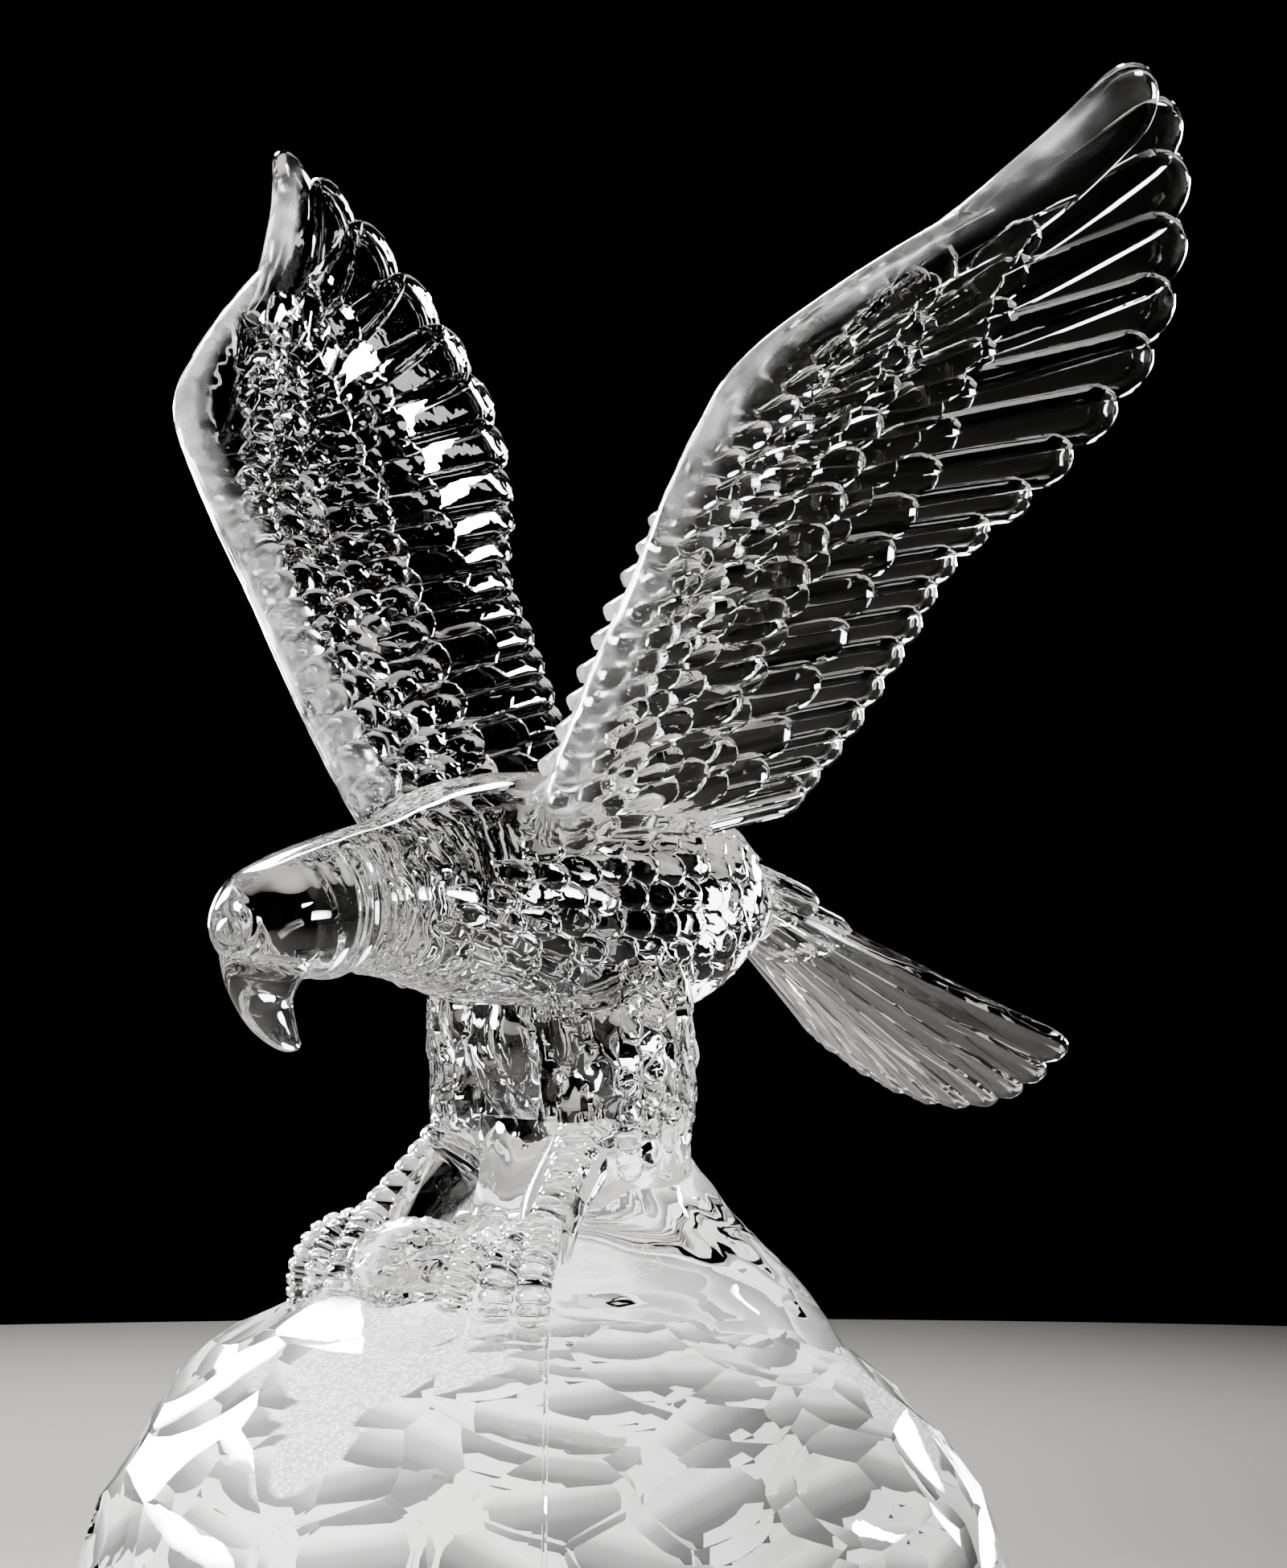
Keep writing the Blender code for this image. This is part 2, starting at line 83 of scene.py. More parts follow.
def on_bird(point):
    """Place in metres of a point of the bird's drawing."""
    x, y, z = point
    return Vector((x * MM, (y - ROCK_AXIS_Y) * MM + axis_y, (z + ROCK_HEIGHT) * MM))


print("rock axis at y =", round(axis_y, 5), "m")

# %% [markdown]
# The outlines of the real bird are smooth, but only a few places on each were measured. A curve that goes
# through every one of them fills in the rest. Blender's curve objects could do it as well, but a plain
# function can carry widths and heights along with the places. Steps and bells fade a relief in and out.

# %% Smooth curves and fades
def spline(rows, share):
    """Row of numbers at a share (0 to 1) of the way along a smooth curve through the rows."""
    spot = max(0.0, min(1.0, share)) * (len(rows) - 1)
    first = min(int(spot), len(rows) - 2)
    t = spot - first
    before, start, end, after = (rows[max(0, min(len(rows) - 1, first + k))] for k in (-1, 0, 1, 2))
    return tuple(
        0.5 * (2 * b + (c - a) * t + (2 * a - 5 * b + 4 * c - d) * t**2 + (3 * b - a - 3 * c + d) * t**3)
        for a, b, c, d in zip(before, start, end, after)
    )


def rise(low, high, value):
    """0 below low, 1 above high and a smooth step between them."""
    t = max(0.0, min(1.0, (value - low) / (high - low)))
    return t * t * (3 - 2 * t)


def between(stops, value):
    """0 outside the four stops, 1 between the middle two, and smooth steps from one to the other."""
    return rise(stops[0], stops[1], value) * (1 - rise(stops[2], stops[3], value))


def bell(distance, width):
    return math.exp(-((distance / width) ** 2))


def rows_along(rows, count):
    return [spline(rows, i / count) for i in range(count + 1)]


print("a curve through 0, 1 and 0:", [round(row[0], 2) for row in rows_along(((0,), (1,), (0,)), 8)])

# %% [markdown]
# Cast glass has no joints: feathers, scales and toes run into each other as one skin. Each form is
# therefore made as a closed skin of its own, and one Boolean union melts them together. Cutting and joining
# by hand would leave inner walls, and those show in glass because light turns at every one of them. Nearly
# every form here is a row of rings, so one helper lays a skin over rings.

# %% A closed skin through rings of points
def gather(name):
    group = bpy.data.collections.new(name)
    bpy.context.scene.collection.children.link(group)
    return group


shapes = gather("shapes_to_unite")
cuts = gather("shapes_to_cut")


def solid(name, points, faces, group):
    """Object with the given faces, all turned outwards."""
    mesh = bpy.data.meshes.new(name)
    mesh.from_pydata(points, [], faces)
    shape = bmesh.new()
    shape.from_mesh(mesh)
    bmesh.ops.recalc_face_normals(shape, faces=shape.faces)
    shape.to_mesh(mesh)
    shape.free()
    thing = bpy.data.objects.new(name, mesh)
    group.objects.link(thing)
    return thing


def skin(name, rings, group=shapes):
    """Closed skin through rings of equal length, with a fan of triangles over each end."""
    count = len(rings[0])
    points = [point for ring in rings for point in ring]
    faces = []
    for i in range(len(rings) - 1):
        for k in range(count):
            here = i * count + k
            beside = i * count + (k + 1) % count
            faces.append((here, beside, beside + count, here + count))
    for start in (0, (len(rings) - 1) * count):
        middle = len(points)
        points.append(sum(points[start:start + count], Vector()) / count)
        faces += [(start + k, start + (k + 1) % count, middle) for k in range(count)]
    return solid(name, points, faces, group)


def oval(count, squareness=2.0):
    """Corners of a unit oval, with their angles, counted round from its side."""
    corners = []
    for k in range(count):
        angle = 2 * math.pi * k / count
        a = math.copysign(abs(math.cos(angle)) ** (2 / squareness), math.cos(angle))
        b = math.copysign(abs(math.sin(angle)) ** (2 / squareness), math.sin(angle))
        corners.append((a, b, angle))
    return corners


print("an oval of four corners:", [(round(a, 2), round(b, 2)) for a, b, _ in oval(4)])

# %% [markdown]
# The real head is plain and polished. Behind it come a collar, wavy rings down the neck and a fine mould
# seam along the nape. They could be tubes laid on the neck, but they are soft swellings without an edge, so
# they are worked into the skin as it is made: this function says how far the skin stands out at each place.

# %% Collar, rings and seam of the neck
COLLAR_Y = -59.0
COLLAR = 0.55
COLLAR_WIDTH = 1.1
# The groove ahead of the collar: its depth as a share of the collar, and how far ahead it lies
GROOVE_SHARE = 0.8
GROOVE_AHEAD = 2.4
RIPPLE = 0.18
RIPPLE_STEP = 2.6
# Where the rings fade in and out along the neck, and where the collar and rings fade out towards the nape
RIPPLE_STOPS = (-57.0, -53.0, -34.0, -24.0)
NAPE = (0.72, 0.95)
# How far the rings wander off their planes, and how quickly, round the neck and along it
WANDER = 3.4
WANDER_ROUND = 2.6
WANDER_ALONG = 0.13
SEAM_ANGLE = math.radians(52)
SEAM = 0.2
SEAM_WIDTH = 0.05
SEAM_STOPS = (-77.0, -70.0, -22.0, -14.0)


def neck_relief(y, angle):
    """How far the skin stands out, in millimetres, at a place on the neck."""
    below_nape = 1 - rise(*NAPE, math.sin(angle))
    patch = Vector((WANDER_ROUND * math.cos(angle), WANDER_ROUND * math.sin(angle), WANDER_ALONG * y))
    turn = 2 * math.pi * (y + WANDER * noise(patch)) / RIPPLE_STEP
    ripple = RIPPLE * between(RIPPLE_STOPS, y) * below_nape * math.sin(turn)
    groove = GROOVE_SHARE * bell(y - COLLAR_Y + GROOVE_AHEAD, COLLAR_WIDTH)
    collar = COLLAR * (bell(y - COLLAR_Y, COLLAR_WIDTH) - groove) * below_nape
    side = abs(math.remainder(angle - math.pi / 2, 2 * math.pi))
    seam = SEAM * bell(side - (math.pi / 2 - SEAM_ANGLE), SEAM_WIDTH) * between(SEAM_STOPS, y)
    return ripple + collar + seam


print("collar stands out by", round(neck_relief(COLLAR_Y, 0.0), 2), "mm")

# %% [markdown]
# The head, neck and body are one smooth form with a squarish section, broad at the shoulders. It could be a
# cage of boxes under a subdivision surface, but sections from the face to the rump can be read straight off
# a side view, so a curve runs through their tops, bottoms and widths, and rings are laid on it.

# %% Head, neck and body
# y, top, bottom, half width and squareness of each section from the face to the rump
BODY = (
    (-78.6, 56.0, 52.0, 2.6, 2.0), (-77.4, 59.4, 49.6, 6.0, 2.0), (-73.8, 63.2, 47.6, 9.2, 2.1),
    (-67.5, 65.9, 46.2, 11.0, 2.1), (-60.5, 68.0, 46.4, 11.5, 2.1), (-54.0, 69.6, 47.0, 11.4, 2.1),
    (-46.0, 71.4, 46.2, 12.8, 2.1), (-39.0, 74.0, 44.6, 16.0, 2.2), (-31.0, 76.8, 42.8, 20.0, 2.4),
    (-21.0, 78.4, 41.0, 22.2, 2.6), (-9.0, 78.6, 39.4, 22.6, 2.7), (3.0, 77.6, 39.0, 22.0, 2.7),
    (14.0, 75.0, 40.8, 19.4, 2.6), (22.0, 71.6, 44.0, 15.6, 2.4), (29.0, 68.0, 47.2, 10.6, 2.2),
    (35.0, 65.2, 49.6, 7.6, 2.0), (42.0, 60.0, 51.0, 5.6, 2.0),
)
BODY_GRID = (150, 72)


def body():
    rings = []
    for i in range(BODY_GRID[0] + 1):
        y, top, bottom, half_width, squareness = spline(BODY, i / BODY_GRID[0])
        middle = (top + bottom) / 2
        half_height = (top - bottom) / 2
        ring = []
        for a, b, angle in oval(BODY_GRID[1], squareness):
            out = neck_relief(y, angle)
            ring.append(on_bird((half_width * a + out * math.cos(angle), y,
                                 middle + half_height * b + out * math.sin(angle))))
        rings.append(ring)
    return skin("body", rings)


body_skin = body()
print("body:", len(body_skin.data.polygons), "faces")

# %% [markdown]
# The real beak is plain, smooth and strongly hooked. Like the legs and toes it follows a bent centre line,
# so one helper lays rings square to a line. A curve object with a bevel would do for round forms, but a
# form may be flatter than it is wide, and the helper takes a relief too, which the legs need.

# %% Beak
# y, z, half width and half depth along the hooked centre line
BEAK = (
    (-65.0, 58.5, 9.4, 8.6), (-69.6, 53.2, 9.0, 8.4), (-71.4, 47.4, 6.8, 6.4), (-70.8, 42.6, 4.6, 4.6),
    (-68.6, 39.2, 3.2, 3.4), (-66.2, 36.9, 1.9, 2.2), (-64.2, 35.9, 0.7, 0.9),
)
BEAK_GRID = (40, 40)


def tube(name, stations, around, upright=False, relief=None, group=shapes):
    """Skin round a centre line of (x, y, z, half width, half depth), each ring square to the line."""
    last = len(stations) - 1
    rings = []
    for i, (x, y, z, half_width, half_depth) in enumerate(stations):
        before = Vector(stations[max(0, i - 1)][:3])
        after = Vector(stations[min(last, i + 1)][:3])
        run = Vector((0, 0, -1)) if upright else (after - before).normalized()
        side = Vector((1, 0, 0))
        side = (side - run * side.dot(run)).normalized()
        depth = run.cross(side)
        ring = []
        for a, b, angle in oval(around):
            grow = 1 + (relief(i / last, angle) if relief else 0.0)
            spot = Vector((x, y, z)) + (side * half_width * a + depth * half_depth * b) * grow
            ring.append(on_bird(spot))
        rings.append(ring)
    return skin(name, rings, group)


def middle_tube(name, rows, grid, **look):
    """Tube in the bird's middle plane through rows of (y, z, half width, half depth)."""
    return tube(name, [(0.0, *row) for row in rows_along(rows, grid[0])], grid[1], **look)


print("beak:", len(middle_tube("beak", BEAK, BEAK_GRID).data.polygons), "faces")

# %% [markdown]
# Feathers hang down the front of the thighs and the belly in long streaks, and end in a wavy hem over the
# smooth glass of the legs. Single feathers would need hundreds of forms that hardly show, so the streaks
# are waves round the form that wander a little, and the hem is a step in its size. The rings stay level
# here.

# %% Belly and thighs
# Belly between the thighs: y, z, half width and half depth down to the rock
BELLY = (
    (-8.5, 51.0, 17.0, 13.4), (-8.2, 41.0, 17.0, 14.4), (-7.6, 32.0, 16.4, 14.4), (-6.0, 25.6, 15.0, 12.6),
    (-3.0, 19.6, 13.0, 10.0), (-2.0, 13.0, 12.0, 10.0),
)
BELLY_GRID = (40, 72)
# Thigh: x, y, z, half width and half depth down the left leg
THIGH = (
    (12.5, -6.0, 53.0, 9.4, 16.4), (12.4, -7.6, 43.0, 10.6, 14.2), (12.3, -7.2, 34.0, 11.4, 13.6),
    (12.4, -6.8, 26.0, 11.0, 13.2), (12.8, -6.6, 18.0, 10.0, 12.4), (13.0, -5.0, 9.0, 9.0, 11.0),
)
THIGH_GRID = (60, 72)
# Height of a streak in millimetres, the radius that it stands on, and how many there are round a form
STREAK = 0.32
STREAK_RADIUS = 12.0
STREAKS = 15
STREAK_WANDER = 4.8
STREAK_PATCH = (3.0, 5.0)
STREAKS_FROM = (0.1, 0.3)
FRONT = (0.1, 0.6)
# The hem: where it lies down the form, its waves, how sharp its step is, and its height, all as shares
HEM_SHARE = 0.74
HEM_WAVE = 0.03
HEM_WAVES = 9
HEM_STEP = (0.01, 0.02)
HEM_SWELL = 0.25
HEM = 0.05


def streaks(share, angle):
    """Relief at a share of the way down and an angle round the form."""
    wide, long = STREAK_PATCH
    wander = STREAK_WANDER * noise(Vector((wide * math.cos(angle), wide * math.sin(angle), long * share)))
    hem = HEM_SHARE + HEM_WAVE * math.sin(HEM_WAVES * angle)
    above = 1 - rise(hem - HEM_STEP[0], hem + HEM_STEP[1], share)
    lift = HEM * rise(*FRONT, math.sin(angle)) * (rise(hem - HEM_SWELL, hem, share) * above - (1 - above))
    wave = math.sin(STREAKS * angle + wander)
    return STREAK / STREAK_RADIUS * wave * rise(*STREAKS_FROM, share) * above + lift


def thigh(side):
    rows = [(side * row[0], *row[1:]) for row in rows_along(THIGH, THIGH_GRID[0])]
    return tube("thigh", rows, THIGH_GRID[1], upright=True, relief=streaks)


belly = middle_tube("belly", BELLY, BELLY_GRID, upright=True, relief=streaks)
print("belly:", len(belly.data.polygons), "faces")

# %% [markdown]
# The real shanks and toes are ribbed like a ladder, and the light breaks at every rung. A bump in the
# finish would show the rungs from the front, but it leaves the outline smooth, so they are a relief of the
# tube: round backs with sharp valleys. Behind each shank a smooth web of glass runs down to the rock.

# %% Shanks and toes
# x, y, z and radius down the left shank
SHANK = (
    (13.2, -12.0, 25.0, 5.8), (14.8, -16.8, 20.0, 4.1), (16.8, -22.2, 14.6, 3.1), (19.0, -28.0, 8.8, 2.8),
    (20.0, -32.0, 4.0, 3.4),
)
# Smooth web of glass behind the shank, as the rows above
WEB = (
    (12.6, -9.0, 25.0, 6.4), (13.0, -13.0, 20.0, 6.2), (13.5, -17.5, 15.0, 5.7), (14.5, -22.5, 9.6, 5.2),
    (16.0, -26.0, 4.0, 4.8), (17.0, -29.0, -2.0, 4.4),
)
# Toes of the left foot, x, y, z and radius of each joint from the ankle to the claw
TOES = (
    ((19.6, -30.6, 5.6, 2.9), (24.4, -35.0, 3.8, 2.8), (26.4, -38.2, -0.6, 2.6), (26.8, -39.0, -6.4, 2.3),
     (26.8, -38.4, -10.2, 1.4)),
    ((19.2, -31.0, 5.4, 2.9), (20.0, -36.8, 3.6, 2.8), (20.4, -40.2, -0.8, 2.6), (20.5, -41.2, -6.6, 2.3),
     (20.5, -40.8, -10.4, 1.4)),
    ((18.4, -31.0, 5.4, 2.9), (14.8, -37.4, 3.6, 2.8), (13.6, -41.8, -0.8, 2.6), (13.2, -43.4, -6.6, 2.3),
     (13.2, -43.0, -10.4, 1.4)),
)
SHANK_RUNGS = 10
TOE_RUNGS = 12
RINGS_A_RUNG = 7
SHANK_RISE = 0.17
TOE_RISE = 0.26
WEB_RINGS = 20
SHANK_SIDES = 24
WEB_SIDES = 32
TOE_SIDES = 22


def rungs(count, rise_share):
    """Relief of a row of round-backed rungs with sharp valleys between them."""
    def relief(share, angle):
        back = abs(2 * ((share * count) % 1.0) - 1)
        return rise_share * (0.5 - back**3)
    return relief


def round_tube(name, rows, side, count, around, relief=None):
    """Round tube through rows of (x, y, z, radius) of the left leg, or mirrored for the right one."""
    stations = [(side * x, y, z, radius, radius) for x, y, z, radius in rows_along(rows, count)]
    return tube(name, stations, around, relief=relief)


def leg(side):
    thigh(side)
    round_tube("shank", SHANK, side, RINGS_A_RUNG * SHANK_RUNGS, SHANK_SIDES, rungs(SHANK_RUNGS, SHANK_RISE))
    round_tube("web", WEB, side, WEB_RINGS, WEB_SIDES)
    for joints in TOES:
        round_tube("toe", joints, side, RINGS_A_RUNG * TOE_RUNGS, TOE_SIDES, rungs(TOE_RUNGS, TOE_RISE))


for side in (1, -1):
    leg(side)

# %% [markdown]
# A glass feather is a shallow spoon: a thin raised rim runs round it, the inside is hollow and a rib runs
# down the middle. The rim is what draws the bright outlines in the real wing, because it bends the light
# most. One function makes every feather from where it starts, where it ends and how wide it is. It measures
# how near a point is to the outline and takes the thickness from that, so rim and hollow follow the round
# tip. A flat outline with Solidify and Bevel would be quicker to set up, but it has no hollow.

# %% A feather
# Length of the round end in half widths, the share of the length where the feather gets its full width, and
# its width at the root as a share of that
ROUND_END = 1.15
FULL_WIDTH = 0.5
ROOT_WIDTH = 0.5
LAST_RING_SHARE = 0.995
RING_CROWDING = 0.85
# Places and widths of the rim and the rib, counted from the middle (0) to the outline (1)
RIM_PLACE = 0.84
RIM_WIDTH = 0.11
RIB_WIDTH = 0.16
# Powers that say how near the outline the back and the rib fall off
BACK_FALL = 4
RIB_FALL = 6
LEAST_DEPTH = 0.05


def feather(name, place, root, tip, half_width, thickness, along, across, pitch=0.0, bend=0.0,
            rim=0.0, rib=0.0, hollow=0.0):
    """Feather with a round end; place turns (along the surface, across it, out of it) into metres."""
    start = Vector((*root, 0.0))
    run = Vector((*tip, 0.0)) - start
    length = run.length
    run.normalize()
    sideways = Vector((-run.y, run.x, 0.0))
    round_from = 1 - ROUND_END * half_width / length
    rings = []
    for i in range(along + 1):
        share = LAST_RING_SHARE * math.sin(0.5 * math.pi * i / along) ** RING_CROWDING
        end = max(0.0, (share - round_from) / (1 - round_from))
        full = ROOT_WIDTH + (1 - ROOT_WIDTH) * min(1.0, share / FULL_WIDTH)
        half = half_width * full * math.sqrt(1 - end * end)
        deep = 0.5 * (thickness[0] + (thickness[1] - thickness[0]) * share)
        ring = []
        for k in range(2 * across):
            turn = math.pi * k / across
            a = math.cos(turn)
            near = math.sqrt(min(1.0, a * a * (1 - end * end) + end * end))
            out = deep * max(0.0, 1 - near**BACK_FALL) ** 0.5
            out += rim * bell(near - RIM_PLACE, RIM_WIDTH) + rib * bell(a, RIB_WIDTH) * (1 - near**RIB_FALL)
            out -= hollow * max(0.0, 1 - (near / RIM_PLACE) ** 2)
            out = 0.0 if k % across == 0 else math.copysign(max(LEAST_DEPTH, out), math.sin(turn))
            spot = start + run * share * length + sideways * (half * a + bend * math.sin(math.pi * share))
            ring.append(place((spot.x, spot.y, out + half * a * math.sin(pitch))))
        rings.append(ring)
    return skin(name, rings)


print("a feather's rim lies at", RIM_PLACE, "of the way to its outline")

# %% [markdown]
# Each real wing is one slightly hollow blade that leans out from the shoulder. Everything on it is
# therefore placed by how far up the arm it is, how far back, and how far out of the blade's face, and one
# function turns that into metres. The wings are mirrored, so the same numbers serve both. A Mirror modifier
# would do it too, but the two wings melt into one skin with the body later, and that is simpler with plain
# forms.

# %% Wing plane
SHOULDER = Vector((22.5, -30.0, 73.5))
UP_ARM = Vector((0.539, -0.057, 0.841)).normalized()
BACK = Vector((0.105, 0.994, 0.0)).normalized()
OUT = BACK.cross(UP_ARM)
CAMBER = 2.4
WING_CHORD = 88.0


def on_wing(side):
    """Function that gives the place of (up the arm, back, out of the face) on the left or right wing."""
    def place(point):
        up, back, out = point
        sunk = CAMBER * math.sin(math.pi * max(0.0, min(1.0, back / WING_CHORD)))
        spot = SHOULDER + UP_ARM * up + BACK * back + OUT * (out - sunk)
        return on_bird((side * spot.x, spot.y, spot.z))
    return place


wing_places = {side: on_wing(side) for side in (1, -1)}
print("left shoulder at", [round(value, 4) for value in wing_places[1]((0.0, 0.0, 0.0))])

# %% [markdown]
# The arm and the hand are the thick leading part of the wing, and everything else grows back out of them.
# On the real bird they are slightly lumpy. They could be a row of tubes, but a flat round-nosed section
# that follows the leading edge and the roots of the coverts gives one clean skin, with noise for the lumps.

# %% Arm of the wing
# Leading point, rear point (up the arm, back) and thickness at the leading edge
ARM = (
    ((-15.0, 1.0), (-15.0, 38.0), 9.6), ((0.0, -2.4), (0.0, 35.0), 9.2), ((22.0, -3.0), (19.0, 30.0), 8.6),
    ((40.0, -2.2), (38.0, 30.0), 8.0), ((56.0, -2.2), (54.0, 32.0), 7.4), ((68.0, -1.4), (66.0, 37.0), 6.8),
    ((76.0, 0.0), (76.0, 42.0), 6.4), ((83.0, 4.4), (84.0, 44.0), 6.0), ((90.0, 12.2), (92.0, 43.0), 5.6),
    ((96.4, 20.4), (98.0, 42.0), 5.2), ((102.4, 29.0), (104.0, 43.0), 4.8),
    ((109.0, 39.2), (109.6, 47.0), 4.4),
)
ARM_ROWS = [(*lead, *rear, thick) for lead, rear, thick in ARM]
ARM_REAR_THICKNESS = 3.2
ARM_GRID = (110, 44)
# Below 1 the section is fuller than an oval
ARM_FULLNESS = 0.8
LUMP = 0.25
LUMP_SIZE = 5.0
# How much quicker lumps change out of the blade than along it, and where they fade out on the way back
LUMPS_OUT = 3
LUMPS_END = (0.2, 0.6)


def arm(place):
    rings = []
    for lead_up, lead_back, rear_up, rear_back, thick in rows_along(ARM_ROWS, ARM_GRID[0]):
        ring = []
        for k in range(ARM_GRID[1]):
            angle = 2 * math.pi * k / ARM_GRID[1]
            share = 0.5 * (1 - math.cos(angle))
            up = lead_up + (rear_up - lead_up) * share
            back = lead_back + (rear_back - lead_back) * share
            sine = math.sin(angle)
            deep = 0.5 * (thick + (ARM_REAR_THICKNESS - thick) * share)
            deep = math.copysign(deep * abs(sine) ** ARM_FULLNESS, sine)
            lump = LUMP * noise(Vector((up, back, LUMPS_OUT * deep)) / LUMP_SIZE)
            lump *= 1 - rise(*LUMPS_END, share)
            ring.append(place((up, back + lump * math.cos(angle), deep + lump * sine)))
        rings.append(ring)
    return skin("arm", rings)


arms = {side: arm(place) for side, place in wing_places.items()}
print("arms:", [len(thing.data.polygons) for thing in arms.values()], "faces")

# %% [markdown]
# The flights are the long feathers of the wing's rear edge. There are nineteen, and they fan out towards
# the wing's tip, where they bend a little and overlap less. Placing each by hand would be dull and uneven,
# so two curves are drawn, one through their tips and one through their roots, and the feathers run between
# them. Each is pitched like a slat, which leaves the step from one to the next that shows so well in glass.

# %% Flights
FLIGHTS = 19
FLIGHT_CROWDING = 0.78
# Tips of every second flight feather, from the wing tip inwards, and roots of every fourth
FLIGHT_TIPS = ((134.6, 63.4), (126.6, 73.6), (106.4, 84.0), (84.4, 87.0), (62.8, 77.8), (46.2, 65.8),
               (31.2, 63.2), (15.2, 59.4), (1.6, 54.0))
FLIGHT_ROOTS = ((94.0, 27.0), (78.0, 18.0), (50.0, 14.0), (22.0, 13.0), (-8.0, 14.0))
FLIGHT_THICKNESS = (3.8, 2.6)
FLIGHT_GRID = (18, 11)
FLIGHT_LOOK = {"rim": 0.35, "rib": 0.25, "hollow": 0.75}
# The first flight is a thick round finger
FINGER_THICKNESS = (6.4, 3.2)
FEATHER_PITCH = math.radians(8.0)
FLIGHT_BEND = 4.0
FLIGHT_OVERLAP = 0.62
TIP_INSET = 1.5
FLIGHT_LEAST = 3.6
OUTER_PITCH = 0.3
# Shares of the row, from the wing's tip, over which the bend and the steeper pitch fade out
BENT_SHARE = 1 / 2
PITCHED_SHARE = 1 / 3


def flight_run(share):
    """Direction of the flights, from root to tip, at a share of the way in from the wing's tip."""
    return (Vector(spline(FLIGHT_TIPS, share)) - Vector(spline(FLIGHT_ROOTS, share))).normalized()


def flights(place):
    last = FLIGHTS - 1
    shares = [(i / last) ** FLIGHT_CROWDING for i in range(FLIGHTS)]
    tips = [Vector(spline(FLIGHT_TIPS, share)) for share in shares]
    for i, tip in enumerate(tips):
        root = Vector(spline(FLIGHT_ROOTS, shares[i]))
        near = tips[max(0, i - 1)]
        far = tips[min(last, i + 1)]
        run = (tip - root).normalized()
        step = (far - near) / (2 if 0 < i < last else 1)
        half_width = max(FLIGHT_LEAST, FLIGHT_OVERLAP * abs(step.x * run.y - step.y * run.x))
        bend = FLIGHT_BEND * max(0.0, 1 - shares[i] / BENT_SHARE)
        pitch = FEATHER_PITCH * (1 + OUTER_PITCH * max(0.0, 1 - shares[i] / PITCHED_SHARE))
        thickness, look = (FLIGHT_THICKNESS, FLIGHT_LOOK) if i else (FINGER_THICKNESS, {})
        end = tip - run * TIP_INSET
        feather("flight", place, root, end, half_width, thickness, *FLIGHT_GRID, pitch, bend, **look)


print("flights of a wing:", FLIGHTS, "the first along", [round(part, 2) for part in flight_run(0.0)])

# %% [markdown]
# The coverts are shorter feathers that lie over the roots of the flights, two rows on each face of the
# wing. Copies of one feather spread along a curve would be quicker, but they would all point square to the
# curve. These take their direction from the flights under them, so that the whole fan opens evenly. Each
# row is lifted off the blade by a millimetre or two, as a tile lies on the next.

# %% Coverts
# Rows of coverts: face, tips, number, length, half width, thickness at the root and tip, and how far out
COVERTS = (
    (1, ((107.0, 48.5), (96.0, 47.0), (84.0, 49.5), (70.0, 45.0), (56.0, 39.0), (40.0, 35.0), (22.0, 32.5),
         (4.0, 34.0)), 19, 20.0, 3.3, (2.6, 3.6), 1.3),
    (1, ((98.0, 31.0), (88.0, 28.5), (78.0, 28.5), (66.0, 24.5), (52.0, 22.0), (36.0, 19.5), (20.0, 19.0),
         (4.0, 22.5)), 18, 13.0, 3.0, (2.6, 3.6), 2.4),
    (-1, ((106.0, 53.0), (92.0, 55.0), (78.0, 54.0), (64.0, 54.0), (50.0, 52.0), (36.0, 50.0), (20.0, 47.0),
          (4.0, 44.0)), 14, 24.0, 4.4, (2.6, 3.6), 1.0),
    (-1, ((100.0, 38.0), (88.0, 38.0), (76.0, 38.0), (62.0, 37.0), (48.0, 36.0), (34.0, 34.0), (18.0, 32.0),
          (4.0, 31.0)), 15, 17.0, 4.0, (2.6, 3.6), 2.2),
)
COVERT_GRID = (10, 8)
COVERT_LOOK = {"rim": 0.25, "rib": 0.12, "hollow": 0.5}


def coverts(place):
    for face, line, count, length, half_width, thickness, lift in COVERTS:

        def place_on_face(point, face=face, lift=lift):
            return place((point[0], point[1], point[2] + face * lift))

        for i in range(count):
            share = i / (count - 1)
            tip = Vector(spline(line, share))
            root = tip - flight_run(share) * length
            feather("covert", place_on_face, root, tip, half_width, thickness, *COVERT_GRID, FEATHER_PITCH,
                    **COVERT_LOOK)


for wing_place in wing_places.values():
    flights(wing_place)
    coverts(wing_place)

# %% [markdown]
# The tail is a fan of nine ribbed feathers that dips in the middle, with two rows of short feathers over
# its root. A fan could be made by turning copies of one feather about a pin, but the real tips lie on a
# curve of their own. So each feather runs from its own root to its own tip, in a flat frame: along the
# feather, across it with a roll that grows outwards, and up from it.

# %% Tail
TAIL_FEATHERS = 9
TAIL_ROOT = (5.0, 33.0, 56.5)
TAIL_SIDE_TIP = (27.0, 86.4, 30.6)
TAIL_MIDDLE_TIP = (90.4, 21.0)
TAIL_THICKNESS = (4.4, 2.4)
TAIL_BEND = 2.0
TAIL_HALF_WIDTH = 4.7
TAIL_INSET = 0.3
TAIL_DISH = 2.0
TAIL_ROLL = 0.42
TAIL_LOOK = {"along": 20, "across": 11, "rim": 0.3, "rib": 0.45, "hollow": 0.35}
# Rows of short feathers over the tail's root: how many, root, side tip and middle tip as for the tail
TAIL_COVERT_ROWS = (
    (6, (4.0, 28.0, 59.2), (11.0, 50.0, 50.3), (51.0, 49.3)),
    (5, (4.0, 20.0, 64.0), (11.0, 42.0, 55.5), (43.0, 54.5)),
)
TAIL_COVERT_HALF_WIDTH = 3.4
TAIL_COVERT_THICKNESS = (3.6, 3.4)
TAIL_COVERT_LOOK = {"along": 10, "across": 8, "rim": 0.2, "rib": 0.2, "hollow": 0.3}


